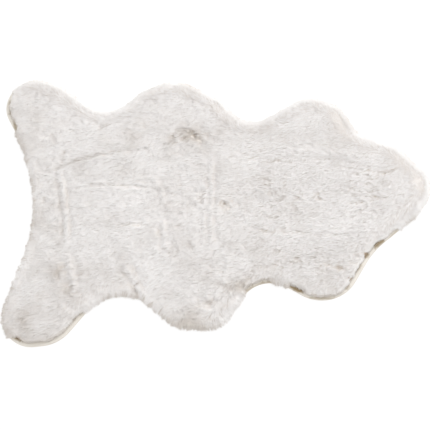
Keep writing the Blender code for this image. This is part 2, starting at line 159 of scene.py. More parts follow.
# How far the tufts reach past the fold at these places. Between them it is blended by distance.
Tuft = namedtuple("Tuft", "place x y reach")
TUFTS = (
    Tuft("head", 0.450, 0.010, 0.0045),
    Tuft("foreleg_upper", 0.220, 0.225, 0.0045),
    Tuft("flank_upper", -0.070, 0.280, 0.0060),
    Tuft("hindleg_upper", -0.390, 0.295, 0.0045),
    Tuft("rump_upper", -0.410, 0.110, 0.0080),
    Tuft("rump", -0.395, 0.000, 0.0050),
    Tuft("rump_lower", -0.425, -0.150, 0.0085),
    Tuft("hindleg_lower", -0.390, -0.295, 0.0050),
    Tuft("hip_lower", -0.210, -0.205, 0.0085),
    Tuft("flank_lower", -0.050, -0.280, 0.0090),
    Tuft("foreleg_lower", 0.210, -0.230, 0.0050),
    Tuft("neck_lower", 0.400, -0.080, 0.0070),
)
TUFT_BLEND = 1e-4  # added to a squared distance, so that the blend stays smooth at the places

# Creases of the folded cloth, each a trough on a bow through three points, with a ridge at one side of it
# or at both, and the share by which the pile parts along it. Left and right are as seen from the first
# point towards the last.
Crease = namedtuple("Crease", "place x1 y1 x2 y2 x3 y3 half_width depth left_ridge right_ridge parting")
CREASES = (
    Crease("rump_cross", -0.338, 0.105, -0.322, 0.000, -0.317, -0.110, 0.0042, 0.0048, 0.0016, 0.0, 0.45),
    Crease("rump_low", -0.318, -0.105, -0.310, -0.155, -0.303, -0.205, 0.008, 0.0045, 0.0, 0.0015, 0.3),
    Crease("hip_arch", -0.375, 0.066, -0.258, 0.108, -0.125, 0.120, 0.0048, 0.0044, 0.0, 0.0030, 0.26),
    Crease("back_upper", -0.305, 0.034, -0.216, 0.041, -0.130, 0.031, 0.0035, 0.0044, 0.0, 0.0020, 0.30),
    Crease("flank_cross", -0.143, 0.074, -0.116, 0.010, -0.098, -0.036, 0.0038, 0.0016, 0.0010, 0.0, 0.08),
    Crease("flank_low", -0.119, -0.045, -0.114, -0.085, -0.113, -0.125, 0.005, 0.0035, 0.0, 0.0015, 0.2),
    Crease("back_dash", -0.204, -0.048, -0.174, -0.050, -0.140, -0.050, 0.003, 0.0034, 0.0, 0.0010, 0.4),
    Crease("waist_cross", -0.003, 0.125, -0.013, -0.005, -0.020, -0.135, 0.004, 0.0010, 0.0025, 0.0020, 0.0),
    Crease("flank_fold", -0.082, 0.160, -0.048, 0.154, -0.006, 0.124, 0.007, 0.0038, 0.0015, 0.0020, 0.45),
    Crease("neck_upper", 0.085, 0.080, 0.235, 0.077, 0.400, 0.032, 0.007, 0.0016, 0.0034, 0.0, 0.2),
    Crease("foreleg_upper_root", 0.125, 0.122, 0.215, 0.114, 0.305, 0.104, 0.014, 0.0050, 0.0, 0.0020, 0.1),
    Crease("shoulder", 0.120, -0.074, 0.215, -0.092, 0.312, -0.103, 0.0045, 0.0026, 0.0022, 0.0020, 0.22),
    Crease("hip_lower", -0.200, -0.132, -0.184, -0.166, -0.165, -0.206, 0.0055, 0.0050, 0.0015, 0.0, 0.6),
    Crease("flank_swirl", -0.044, -0.212, -0.024, -0.229, -0.008, -0.210, 0.008, 0.0065, 0.001, 0.0015, 0.3),
)
RIDGE_AWAY = 1.8  # from the trough to a ridge's crown, in the trough's half widths
RIDGE_WIDTH = 1.5  # half width of a ridge, in the same
CREASE_FADE = 0.25  # share of its length in which each end fades out
CREASE_END = 0.012  # how far past its ends a crease still has an effect
CREASE_SAMPLES = 60
CREASE_STRAY = 0.0030  # how far its line strays from the bow
CREASE_REACH = 0.05  # beyond which it has no effect
CREASE_BROKEN = (0.5, 1.3)  # the least and the most of its depth, where that is uneven
CREASE_MEAN = 0.95  # the mean share of its depth
CREASE_UNEVEN = 0.9  # how far that varies
CREASE_PUSH = 1.6  # in its half widths, how far it turns the pile aside
CREASE_SHADE = 0.8  # and how far the pile parts

# Small partings of the pile, each a trough along the straight line between two points.
Dimple = namedtuple("Dimple", "x1 y1 x2 y2 half_width depth")
DIMPLES = (
    Dimple(-0.341, 0.164, -0.334, 0.143, 0.0030, 0.0021),
    Dimple(-0.315, 0.123, -0.319, 0.100, 0.0030, 0.0024),
    Dimple(-0.239, 0.176, -0.226, 0.180, 0.0040, 0.0017),
    Dimple(-0.180, 0.195, -0.178, 0.185, 0.0030, 0.0017),
    Dimple(-0.324, -0.135, -0.326, -0.161, 0.0035, 0.0021),
    Dimple(-0.287, -0.186, -0.283, -0.195, 0.0030, 0.0017),
    Dimple(-0.179, -0.189, -0.169, -0.196, 0.0030, 0.0021),
    Dimple(-0.205, -0.143, -0.199, -0.154, 0.0030, 0.0017),
    Dimple(-0.143, 0.178, -0.139, 0.173, 0.0030, 0.0017),
    Dimple(-0.042, 0.142, -0.030, 0.135, 0.0040, 0.0024),
    Dimple(0.078, 0.094, 0.090, 0.086, 0.0030, 0.0017),
    Dimple(0.071, 0.083, 0.084, 0.084, 0.0030, 0.0015),
    Dimple(0.122, 0.075, 0.139, 0.079, 0.0030, 0.0017),
    Dimple(0.139, 0.079, 0.167, 0.071, 0.0030, 0.0015),
    Dimple(-0.072, 0.050, -0.068, 0.032, 0.0030, 0.0017),
    Dimple(-0.022, 0.018, -0.025, -0.005, 0.0040, 0.0024),
    Dimple(-0.015, 0.034, -0.008, 0.042, 0.0030, 0.0017),
    Dimple(0.018, -0.014, 0.033, -0.023, 0.0045, 0.0028),
    Dimple(0.085, 0.042, 0.087, 0.033, 0.0030, 0.0015),
    Dimple(0.121, 0.036, 0.127, 0.031, 0.0030, 0.0015),
    Dimple(0.145, 0.037, 0.148, 0.025, 0.0030, 0.0015),
    Dimple(0.146, 0.021, 0.145, 0.005, 0.0030, 0.0015),
    Dimple(0.093, -0.029, 0.103, -0.045, 0.0040, 0.0017),
    Dimple(-0.084, -0.058, -0.074, -0.058, 0.0030, 0.0017),
    Dimple(-0.057, -0.099, -0.047, -0.108, 0.0035, 0.0021),
    Dimple(0.078, -0.068, 0.096, -0.078, 0.0035, 0.0015),
    Dimple(0.096, -0.078, 0.115, -0.083, 0.0035, 0.0020),
    Dimple(0.126, -0.068, 0.140, -0.080, 0.0030, 0.0015),
    Dimple(0.140, -0.082, 0.142, -0.087, 0.0030, 0.0015),
    Dimple(0.097, -0.098, 0.105, -0.100, 0.0030, 0.0015),
    Dimple(0.007, -0.115, 0.013, -0.107, 0.0030, 0.0017),
    Dimple(-0.107, -0.107, -0.095, -0.119, 0.0030, 0.0017),
    Dimple(0.009, -0.154, 0.010, -0.163, 0.0030, 0.0021),
    Dimple(0.001, -0.186, 0.013, -0.195, 0.0050, 0.0021),
    Dimple(0.017, -0.193, 0.021, -0.197, 0.0030, 0.0021),
    Dimple(-0.023, -0.223, -0.022, -0.231, 0.0040, 0.0024),
    Dimple(-0.080, -0.270, -0.072, -0.276, 0.0050, 0.0024),
    Dimple(0.042, -0.190, 0.043, -0.196, 0.0040, 0.0024),
    Dimple(0.061, -0.170, 0.063, -0.176, 0.0040, 0.0015),
    Dimple(0.162, -0.021, 0.169, -0.035, 0.0040, 0.0017),
    Dimple(0.261, -0.044, 0.270, -0.060, 0.0050, 0.0015),
    Dimple(0.282, 0.021, 0.287, 0.009, 0.0030, 0.0015),
    Dimple(0.295, 0.020, 0.297, 0.018, 0.0030, 0.0015),
    Dimple(0.334, -0.016, 0.361, -0.017, 0.0030, 0.0025),
    Dimple(0.349, -0.046, 0.351, -0.050, 0.0030, 0.0020),
    Dimple(0.300, -0.037, 0.306, -0.055, 0.0030, 0.0015),
    Dimple(0.431, -0.005, 0.429, -0.021, 0.0040, 0.0015),
    Dimple(0.258, 0.061, 0.292, 0.055, 0.0030, 0.0015),
    Dimple(0.292, 0.055, 0.330, 0.046, 0.0030, 0.0015),
    Dimple(0.330, 0.046, 0.361, 0.040, 0.0030, 0.0020),
    Dimple(0.361, 0.040, 0.378, 0.042, 0.0030, 0.0017),
    Dimple(0.160, -0.142, 0.170, -0.154, 0.0050, 0.0015),
    Dimple(0.205, -0.157, 0.211, -0.173, 0.0030, 0.0015),
    Dimple(0.139, -0.073, 0.140, -0.084, 0.0030, 0.0015),
)
DIMPLE_REACH = 0.014
DIMPLE_STEP = 0.002
DIMPLE_DEEP = 0.0035  # depth at which the pile parts fully
DIMPLE_PUSH = 1.7  # in its half widths, how far it turns the pile aside

# Areas ruffled with short partings at random, each a round or long blot with their count and depth.
Ruffled = namedtuple("Ruffled", "place x y spread_x spread_y count depth")
RUFFLED = (
    Ruffled("flank_upper", -0.048, 0.146, 0.044, 0.017, 48, 0.0034),
    Ruffled("hip_upper", -0.180, 0.160, 0.060, 0.025, 12, 0.0018),
    Ruffled("waist_upper", 0.082, 0.098, 0.030, 0.016, 10, 0.0024),
    Ruffled("rump_upper", -0.350, 0.080, 0.030, 0.022, 9, 0.0020),
    Ruffled("rump_side", -0.360, 0.020, 0.020, 0.030, 8, 0.0018),
    Ruffled("hip_fold", -0.300, -0.170, 0.034, 0.040, 30, 0.0024),
    Ruffled("hindleg_lower", -0.385, -0.235, 0.035, 0.030, 8, 0.0016),
    Ruffled("flank_lower", -0.010, -0.150, 0.030, 0.050, 18, 0.0022),
    Ruffled("hip_lower", -0.175, -0.170, 0.020, 0.030, 5, 0.0020),
    Ruffled("back", -0.015, 0.020, 0.020, 0.050, 8, 0.0020),
    Ruffled("shoulder_left", 0.125, 0.000, 0.030, 0.050, 26, 0.0036),
    Ruffled("shoulder_low", 0.120, -0.150, 0.045, 0.035, 16, 0.0022),
    Ruffled("shoulder_upper", 0.130, 0.070, 0.040, 0.018, 8, 0.0022),
    Ruffled("chest", 0.310, -0.010, 0.045, 0.040, 34, 0.0036),
    Ruffled("neck", 0.350, 0.030, 0.035, 0.040, 14, 0.0034),
    Ruffled("foreleg_lower", 0.230, -0.160, 0.050, 0.025, 28, 0.0036),
    Ruffled("foreleg_lower_back", 0.140, -0.150, 0.030, 0.012, 9, 0.0026),
    Ruffled("waist_lower", 0.070, -0.170, 0.020, 0.012, 7, 0.0024),
    Ruffled("head_lower", 0.368, -0.080, 0.016, 0.010, 11, 0.0044),
    Ruffled("back_middle", 0.020, -0.015, 0.020, 0.014, 11, 0.0044),
    Ruffled("chest_left", 0.175, -0.005, 0.012, 0.016, 11, 0.0044),
    Ruffled("chest_middle", 0.215, -0.008, 0.010, 0.014, 11, 0.0044),
)
PARTING_LENGTH = (0.002, 0.009)
PARTING_WAY = (-1.1, 0.7)  # radians from +X to the way that they run, and its spread
PARTING_SIZE = (0.6, 1.0)  # share of the area's depth and of the half width
PARTING_HALF_WIDTH = 0.0021
PARTING_INSET = 0.015  # the least from the fold

# Lumps of the pile, each band of noise stretched along X by its length and along Y by its breadth.
Lump = namedtuple("Lump", "place length breadth height")
LUMPS = (
    Lump("swell", 0.110, 0.070, 0.0036),
    Lump("tuft", 0.046, 0.034, 0.0034),
    Lump("clump", 0.026, 0.020, 0.0034),
)
SMOOTH_END = -0.26  # the pile is combed flat up to this X, and tousled from the next one on
ROUGH_START = -0.06
SMOOTH_SHARE = 0.60  # share of the lumps' height that is left where the pile is combed flat

# Calm areas of the coat, where it is combed flat too. Each fades out with distance.
Calm = namedtuple("Calm", "place x y spread_x spread_y amount")
CALM = (
    Calm("foreleg_upper", 0.190, 0.190, 0.085, 0.050, 1.0),
    Calm("neck_lower", 0.230, -0.075, 0.090, 0.022, 1.0),
    Calm("back", -0.150, -0.010, 0.060, 0.045, 1.0),
    Calm("flank_lower", -0.080, -0.200, 0.050, 0.060, 1.0),
    Calm("waist_upper", 0.045, 0.110, 0.045, 0.030, 1.0),
    Calm("chest", 0.290, -0.010, 0.200, 0.150, 0.55),
)
CALM_SHARE = 0.35  # share by which they are less lumpy still

# The binding, folded round the edge of the ground cloth. Insets are from the fold, heights from the floor.
TAPE_WIDTH = 0.0095
TAPE_UNEVEN = 0.0004
TAPE_WAVES = ((17, 0.0), (41, 1.3))  # of its width: how many go round the edge, and where each starts
TAPE_THICK = 0.001
SLOT_LOW = TAPE_THICK
SLOT_HIGH = 0.0034
TAPE_HIGH = SLOT_HIGH + TAPE_THICK
TAPE_BEND = 0.0016
TAPE_PUFF = 0.00035
FOLD_DEGREES = (72, 45, 18, 0, -18, -45, -72)  # round the bend, from the underside to the top
SEAM_INSET = 0.0022  # from the tape's inner edge
SEAM_RISE = 0.00015
STITCH_DIP = 0.00028
CAD_STATIONS = 160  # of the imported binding, round the edge
GAP = 0.0003
STEP_GAP = 1.2 * GAP  # between the tape's inner edge and the step of the ground cloth

# How far the tape is darkened to brown with painted shade, of 1 in full.
TAPE_SHADE_ACROSS = (0.55, 0.98)  # of its width, between which its inner edge starts to take painted shade
TAPE_SHADE_INNER = (0.08, 0.45)  # the least and the most there, in clouds
TAPE_SHADE_FOLD = 0.28  # painted shadow at the fold
TAPE_SHADE_FOLD_WIDE = 0.0012
TAPE_SHADE_UPPER = (0.35, 0.75)  # of its height, between which that starts
TAPE_SHADE_SPREAD = 0.001  # how far the painted shadow of a bare spot spreads outwards
TAPE_SHADE_SPOT = (0.7, 1.0)  # beside a bare spot, at the fold and from the tape's middle on
TAPE_SHADE_COVERED = 0.22  # painted shade where the pile covers it

# The ground cloth and the underfur.
CLOTH_LOW = SLOT_LOW + GAP
CLOTH_HIGH = SLOT_HIGH - GAP
CLOTH_DROP = 0.002
UNDERFUR_SHARE = 0.80  # of the pile's height
UNDERFUR_FOOT = TAPE_WIDTH + 0.0008
UNDERFUR_START = 0.003  # how far outside its foot its rise starts
UNDERFUR_FULL = 0.0165
UNDERFUR_RINGS = (0.0006, 0.002, 0.004, 0.0068, 0.0105, 0.015)  # past the foot
SPOT_DEEP = 0.8  # share by which it is lower in the bare spots
SHADE_PARTED = 0.6  # how deep its colour is where the pile parts, of 1 at the bare ground cloth: the roots' own tan, deepened with painted shade
SHADE_FOOT = (0.30, 0.55)  # and beside the tape as painted shadow, where that is covered and where it is bare
SHADE_FROM = (0.0, 0.001)  # past the foot, where that shade starts to fade, in the same order
SHADE_TO = (0.004, 0.006)  # and where it ends
RING_STATIONS = 560
FLOOR_STATIONS = 160
FLOOR_INSET = 0.030
FLOOR_GRID = 0.030
SKIN_GRID = 0.0045
SKIN_JITTER = 0.0012
SKIN_MARGIN = 0.7 * SKIN_GRID  # between the last ring and the grid
HALF_LENGTH = 0.46
HALF_BREADTH = 0.30
EDGE_SAMPLES = 1400
MERGE = 1e-7

# The pile.
PILE_HIGH = 0.0172
RIM_DROP = 0.36  # share by which the pile is lower at the fold
CROWN_INSET = 0.024
RIM_REACH = 0.002  # the least reach that the pile is rounded off over
RIM_ROUNDED = 0.97  # of that reach, the most that the rounding follows
NAP = Vector((-0.94, -0.34)).normalized()  # the way the pile lies, from the head towards the rump
SWIRL_SIZE = 0.095
SWIRL_SMOOTH = 0.30  # radians by which the nap turns, where the pile is combed flat and where it isn't
SWIRL_ROUGH = 0.42
RIM_OUT = 0.012  # depths between which the nap turns outwards to the edge
RIM_TURN = 0.038
TUFT_TIGHT = 0.50  # share by which the strands of a tuft draw together at its tip
PULL_SMOOTH = 0.15
PULL_ROUGH = 0.18
UPRIGHT_FROM = (0.02, 0.12)  # the two X between which the pile starts to stand up towards the head
UPRIGHT_SHARE = 0.38  # share by which its tips lie nearer to their roots there
CROWN_FROM = 2.4  # radians between the nap and the edge's normal from which a crown forms
CROWN_SHARE = 0.68  # share by which the tips lie nearer to their roots on a crown
COAT_REACH = 0.6  # share of the edge tufts' reach that the coat's own strands have
OUTWARD_FROM = 0.05  # how far outwards the pile has to lie for the edge to stop it
UPRIGHT_CALM = 0.5  # share by which it stands up less in the calm areas
COAT_ARCH = 0.8  # of the pile's height above a root, how far its strand arches up
COAT_ARCH_LEAST = 0.002
COVER_PARTED = 0.35  # share of the strands that is missing where the pile parts
JAG_REACH = 0.002
BARE_TURN = 0.8  # share by which the nap turns less where the binding shows
PUSHED_ASIDE = 0.6  # how strongly a dimple turns the pile away from itself
SHORTEST_LAY = 0.003
LONGEST = 1.06  # of a strand's own length, for the longest
SHORTEST_COAT = 0.78
SHORTEST_RIM = 0.35
WIDEST_COAT = 0.42  # share of its length at which a strand is widest
WIDEST_RIM = 0.62
ROOT_COAT = 0.01  # where on the way from the root's colour to the tip's a strand starts
ROOT_RIM = 0.45
KNEE_SHARE = 0.32  # of the way to its tip at which a strand bends
STRAND_FLOOR = 0.0003  # the lowest that a strand lies
RUFFLE_WAVES = 120.0  # to a metre
TONE_STRAY = 0.04  # how far a tuft's and a strand's tone vary by chance
TUFT_JITTER = 0.36  # of the tufts' pitch
TUFT_INSET = 0.006
TUFT_LAY = (0.7, 1.15)  # of the pile's lay, the least and the most of a tuft's
TUFT_LEAN = (0.12, 0.20)  # radians that the tufts stray to either side, where they are combed and tousled
TUFT_LOW = (0.97, 0.95)  # of its height, how low a tuft's tip gets, in the same order
TUFT_TALL = (1.04, 1.06)  # and how high
STRAND_STRAY = (1.0, 1.0, 0.6)  # of the scatter, how far a strand's tip strays each way
STRAND_ARCH = (0.55, 1.1)  # of the arch there, the least and the most of a strand's
STRAND_GIRTH = (0.65, 1.25)  # the same of the width
MAP_START = 0.01  # of the map's U, from which the tones run on
MAP_LENGTH = 0.96
MAP_SIDE = 0.008  # from one side of a strand to the next
MAP_TOP = 0.98
ROOT_TRIES = 3.5  # roots tried for each one that finds room
TONE_PLAIN = 0.62
PARTED_PAINTED_SHADE = 0.50  # painted shade: how much darker the coat is painted where it parts

# Faint patches of the coat, each band with its size and how far its tones vary.
PATCH_BANDS = ((0.075, 0.28), (0.030, 0.30))

# Areas of the coat that are painted lighter or darker than the rest, as painted light and shade: lighter
# mostly towards the head, darker towards the hind legs, along the lower edges and at some partings. Each
# fades out with distance.
PaintedLightArea = namedtuple("PaintedLightArea", "place x y spread_x spread_y amount")
PAINTED_LIGHT_AREAS = (
    PaintedLightArea("hindleg_lower", -0.410, -0.270, 0.085, 0.055, -0.42),
    PaintedLightArea("hip_lower", -0.330, -0.140, 0.060, 0.060, -0.22),
    PaintedLightArea("hip_lower_front", -0.295, -0.230, 0.035, 0.025, -0.14),
    PaintedLightArea("flank_lower_left", -0.070, -0.265, 0.070, 0.035, -0.40),
    PaintedLightArea("waist_lower", 0.045, -0.190, 0.040, 0.025, -0.36),
    PaintedLightArea("hip_upper", -0.200, 0.165, 0.100, 0.025, -0.14),
    PaintedLightArea("flank_upper", -0.150, 0.200, 0.055, 0.040, -0.16),
    PaintedLightArea("flank_lower_edge", -0.078, -0.266, 0.011, 0.009, -0.70),
    PaintedLightArea("hip_lower_edge", -0.176, -0.203, 0.012, 0.008, -0.60),
    PaintedLightArea("flank_parting", -0.045, 0.150, 0.045, 0.020, -0.32),
    PaintedLightArea("hindleg_upper", -0.420, 0.190, 0.050, 0.090, -0.12),
    PaintedLightArea("hip_middle", -0.200, 0.000, 0.080, 0.080, 0.20),
    PaintedLightArea("back_left", -0.270, -0.050, 0.040, 0.030, 0.22),
    PaintedLightArea("back", -0.140, -0.015, 0.035, 0.040, 0.22),
    PaintedLightArea("back_lower", -0.060, -0.085, 0.030, 0.040, -0.22),
    PaintedLightArea("foreleg_upper", 0.190, 0.190, 0.080, 0.035, 0.15),
    PaintedLightArea("foreleg_upper_root", 0.185, 0.135, 0.060, 0.018, -0.26),
    PaintedLightArea("neck", 0.240, 0.085, 0.110, 0.026, 0.30),
    PaintedLightArea("chest", 0.270, 0.000, 0.190, 0.110, 0.17),
    PaintedLightArea("neck_lower", 0.270, -0.090, 0.090, 0.030, 0.16),
    PaintedLightArea("shoulder_lower", 0.100, -0.150, 0.060, 0.030, -0.12),
    PaintedLightArea("head", 0.400, 0.020, 0.060, 0.070, 0.10),
    PaintedLightArea("waist_upper", 0.045, 0.120, 0.050, 0.040, 0.15),
)
PATCH_STOP = 0.7  # share by which the strands are shorter that would hide a bare spot

# Tufts that hang over the edge.
LOCK_PITCH = 0.0125
LOCK_TUFTS = 2  # of the pile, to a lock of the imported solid
LOCK_MARGIN = (0.0, 0.45)  # between two tufts, in their own widths
LOCK_UNEVEN = 0.4
LOCK_LEAN = 0.0060
LOCK_TIP_LOW = 0.0008
LOCK_TIP_HIGH = 0.0022
SHORT_TIP_INSET = 0.0062
SHORT_TIP_HIGH = 0.0060
SHORT_TIP_STRAY = (0.8, 1.2)  # of the inset, its least and its most
SHORT_FROM = 0.3
RIM_INNER = 0.0170
RIM_OUTER_BARE = 0.0130
RIM_MEETS = 0.001  # to either side of it, over which the coat starts
RIM_ARCH = 0.0085
RIM_ARCH_LOW = 0.004
RIM_ARCH_TUFTED = 0.6  # how far the arch is the low one at the edges that the nap runs out over
RIM_ARCH_UPPER = 0.5  # share by which it is lower for the strands from the inner roots
RIM_JAGS_UPPER = 0.6  # share of the jags that those have
RIM_BACK_UNEVEN = 0.5  # how far the reach varies where the pile stands back
RIM_PROBE = 0.6  # of the way to a tip, the second place that is tried for a bare spot
RIM_TIP_HIGH = (0.002, 0.004)  # covered and bare
RIM_PULL_BARE = 0.3
RIM_LEAN = 0.8  # how strongly the strands lean to either side, in groups and one by one
RIM_FINE_LEAN = 0.7
RIM_SCATTER = 0.0012
RIM_WIDTH = 1.3  # of the coat's strands
RIM_SHORT = -0.92  # where the pile stands back, its reach in widths of the tape
SHADED_TUFT_SHARE = 0.35  # of the tufts, at the edges that the nap runs out over, the share that is painted darker as painted shade
TUFT_PAINTED_SHADE = 0.65  # how much darker those are painted
RIM_TONE_STRAY = (-0.10, 0.06)  # how far the tones of all tufts at the edge vary
RIM_PAINTED_SHADE_START = (0.42, 0.0)  # painted shade: how much darker the strands are painted, from the outer roots to the inner ones
RIM_PAINTED_SHADE_END = (0.40, 0.05)  # the same at the tufted and the bare edges
SPOT_COVER = (0.2, 0.6)  # between these shares of a bare spot the strands' roots end

# At the edges that the nap starts from, and at those that it runs out over.
RIM_PAST = (0.0008, 0.0030)  # how far past the fold the strands reach
RIM_JAGS = (0.0028, 0.0070)  # how far that varies
RIM_PULL = (0.35, 0.48)  # how tightly they gather
TUFTED_TOWARDS = Vector((-0.75, -0.66))
TUFTED_FROM = (-0.1, 0.5)  # of that way, the shares in an edge's normal between which it becomes such an edge
EDGE_PAINTED_SHADE = 0.33  # painted shade: how much darker the coat is painted at those edges
EDGE_PAINTED_SHADE_WIDE = 0.032

# Lengths of the coat, each from its first X to the next one's, in the pattern's frame.
COAT = (
    ("pile_hindlegs", -0.50),
    ("pile_hips", -0.315),
    ("pile_flanks", -0.145),
    ("pile_shoulders", 0.020),
    ("pile_head", 0.190),
)
COAT_END = 0.50

# The camera of the photograph: the place that it looks at, in the pattern's frame, and where it stands.
LOOK_AT = Vector((-0.0070, -0.0353, 0.0))
CAMERA_RISE = math.radians(70.0)  # above the floor
CAMERA_TURN = math.radians(2.88)  # towards the rump
SENSOR = 36.0
PHOTO_WIDTH = 430
PHOTO_DISTANCE = 950  # from that place, in the photograph's pixels
PHOTO_PIXEL = 0.002114  # on the floor, in metres
CLIP_START = 0.05
CLIP_END = 20.0

# The floor and the light above and behind the rug.
FLOOR_HALF = 6.0
FLOOR_LOW = -0.0002
FLOOR_GREY = (0.30, 0.30, 0.30, 1.0)
WHITE = (1.0, 1.0, 1.0, 1.0)
KEY_SIZE = (1.8, 1.2)
KEY_PLACE = Vector((1.25, 1.45, 1.20))

MAP_NAME = "OFBake"


def smooth_step(low, high, value):
    """0 below the low value, 1 above the high one, and a smooth rise between them."""
    share = min(max((value - low) / (high - low), 0.0), 1.0)
    return share * share * (3.0 - 2.0 * share)


def mix(a, b, share):
    """From a to b by a share."""
    return a + (b - a) * share


def waved(wave, point):
    """The wave's noise at a point, between about -1 and 1."""
    return noise.noise(Vector((wave.per_metre * point.x, wave.per_metre * point.y, wave.layer)))


def blotted(length, breadth, layer, point):
    """Noise in blots of this length along X and breadth along Y."""
    return noise.noise(Vector((point.x / length, point.y / breadth, layer)))


def place_of(row):
    """The place that a row of a table names."""
    return Vector((row.x, row.y))


def turned(vector, angle):
    """A flat vector turned anticlockwise."""
    c, s = math.cos(angle), math.sin(angle)
    return Vector((vector.x * c - vector.y * s, vector.x * s + vector.y * c))


class Edge:
    """A belt round the pegs, inset from their outline and measured by its length."""

    def __init__(self, pegs, inset):
        rounds = [(place_of(peg), peg.radius - inset) for peg in pegs]
        leaving = [self.tangent(a, b) for a, b in zip(rounds, rounds[1:] + rounds[:1])]
        self.runs = []
        self.length = 0.0
        for i, (centre, radius) in enumerate(rounds):
            start, end = leaving[i - 1], leaving[i]
            turn = (end - start) % math.tau if radius > 0 else -((start - end) % math.tau)
            self.add(abs(turn * radius), centre, radius, start, turn, Vector((0.0, 0.0)))
            following, reach = rounds[(i + 1) % len(rounds)]
            normal = Vector((math.cos(end), math.sin(end)))
            straight = following + normal * reach - centre - normal * radius
            self.add(straight.length, centre, radius, end, 0.0, straight)

    def add(self, length, centre, radius, start, turn, straight):
        """Adds an arc or a straight run to the belt."""
        self.runs.append((self.length, length, centre, radius, start, turn, straight))
        self.length += length

    @staticmethod
    def tangent(a, b):
        """The direction of the outward normal on the straight run from one round to the next."""
        across = b[0] - a[0]
        slant = math.asin((a[1] - b[1]) / across.length)
        return math.atan2(across.y, across.x) - math.pi / 2 + slant

    def at(self, share, inset=0.0):
        """The point at this share of the way round, that far inside the belt, and its outward normal."""
        way = (share % 1.0) * self.length
        run = next(run for run in reversed(self.runs) if run[0] <= way)
        begin, length, centre, radius, start, turn, straight = run
        part = (way - begin) / length
        angle = start + turn * part
        normal = Vector((math.cos(angle), math.sin(angle)))
        return centre + normal * (radius - inset) + straight * part, normal


EDGE = Edge(PELT, EDGE_INSET)


def even_shares(count):
    """Shares of the way round, all the same distance apart."""
    return [i / count for i in range(count)]


def border_tree():
    """The edge's points for a search, with the outward normal of each."""
    tree = kdtree.KDTree(EDGE_SAMPLES)
    normals = []
    for i, share in enumerate(even_shares(EDGE_SAMPLES)):
        point, normal = EDGE.at(share)
        tree.insert(point.to_3d(), i)
        normals.append(normal)
    tree.balance()
    return tree, normals


BORDER, BORDER_NORMALS = border_tree()


def edge_near(point):
    """The depth of a point inside the fold, with the fold's nearest point and its normal."""
    near, index, _ = BORDER.find((point.x, point.y, 0.0))
    normal = BORDER_NORMALS[index]
    return (near.xy - point.xy).dot(normal), near.xy, normal


def seat_on_frame():
    """The move from the pattern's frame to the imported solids, found from the binding's own box."""
    fold = [EDGE.at(share)[0] for share in even_shares(CAD_STATIONS)]
    low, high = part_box("binding")
    shift = [
        (low[axis] + high[axis] - min(p[axis] for p in fold) - max(p[axis] for p in fold)) / 2
        for axis in (0, 1)
    ]
    return Vector((*shift, 0.0))


SEAT = seat_on_frame()


def tape_width(share):
    """The folded tape's width, which wanders a little along the edge."""
    turn = share * math.tau
    waves = sum(math.sin(count * turn + start) for count, start in TAPE_WAVES)
    return TAPE_WIDTH + TAPE_UNEVEN * waves / len(TAPE_WAVES)


def bareness(point):
    """1 where the binding shows, 0 where the pile hangs over it, and between them on the way."""
    found = 0.0
    for stretch in BARE:
        away = (point - place_of(stretch)).length
        faded = smooth_step(stretch.reach - BARE_BLEND, stretch.reach, away)
        found = max(found, stretch.share * (1.0 - faded))
    return found


def patchiness(point):
    """1 in the spots where the pile parts down to the ground cloth."""
    found = 0.0
    for spot in PATCHES:
        start, run = Vector(spot[1:3]), Vector((spot.x2 - spot.x1, spot.y2 - spot.y1))
        along = min(max((point - start).dot(run) / run.length_squared, 0.0), 1.0)
        away = (point - start - run * along).length
        if away < 3 * spot.half_width:
            ragged = 1 + SPOT_RAGGED * waved(SPOT_WAVE, point)
            wide = spot.half_width * (1 - SPOT_TAPER * (2 * along - 1) ** 2)
            share = 1.0 - smooth_step(*SPOT_FADE, away * ragged / wide)
            found = max(found, spot.share * share)
    return found


def tuft_reach(point):
    """How far the tufts there reach past the fold, blended from the named places."""
    total = weight_sum = 0.0
    for tuft in TUFTS:
        weight = 1.0 / ((point - place_of(tuft)).length_squared + TUFT_BLEND) ** 2
        total += tuft.reach * weight
        weight_sum += weight
    return total / weight_sum


def within(area, point):
    """1 in the middle of a blot, fading out past its spread."""
    away = Vector(((point.x - area.x) / area.spread_x, (point.y - area.y) / area.spread_y))
    return math.exp(-away.length_squared)


def calmness_at(point):
    """1 in the calm areas of the coat, 0 away from them."""
    return min(sum(area.amount * within(area, point) for area in CALM), 1.0)


def roughness_at(point):
    """0 where the pile lies combed flat, 1 where it is tousled."""
    return smooth_step(SMOOTH_END, ROUGH_START, point.x) * (1 - calmness_at(point))


def bow(crease, share):
    """The point at this share of a crease, on the parabola through its three points."""
    start, middle, end = (Vector(crease[i : i + 2]) for i in (1, 3, 5))
    control = 2 * middle - (start + end) / 2
    return start.lerp(control, share).lerp(control.lerp(end, share), share)


def crease_trees():
    """For each crease, its points for a search, with the direction and the share of its length at each."""
    found = []
    for crease in CREASES:
        points = [bow(crease, i / CREASE_SAMPLES) for i in range(CREASE_SAMPLES + 1)]
        tree = kdtree.KDTree(len(points))
        ways = []
        for i, point in enumerate(points):
            tree.insert(point.to_3d(), i)
            along = (points[min(i + 1, CREASE_SAMPLES)] - points[max(i - 1, 0)]).normalized()
            ways.append((along, i / CREASE_SAMPLES))
        tree.balance()
        found.append((crease, tree, ways))
    return found


def all_dimples():
    """The dimples of the table and the short partings of the ruffled areas."""
    chance = random.Random(SEED + 5)
    found = list(DIMPLES)
    for area in RUFFLED:
        for _ in range(area.count):
            x = chance.gauss(area.x, area.spread_x / 2)
            start = Vector((x, chance.gauss(area.y, area.spread_y / 2)))
            run = Vector((chance.uniform(*PARTING_LENGTH), 0.0))
            end = start + turned(run, chance.gauss(*PARTING_WAY))
            size = chance.uniform(*PARTING_SIZE)
            if edge_near(start)[0] > PARTING_INSET:
                found.append(Dimple(*start, *end, PARTING_HALF_WIDTH * size, area.depth * size))
    return found


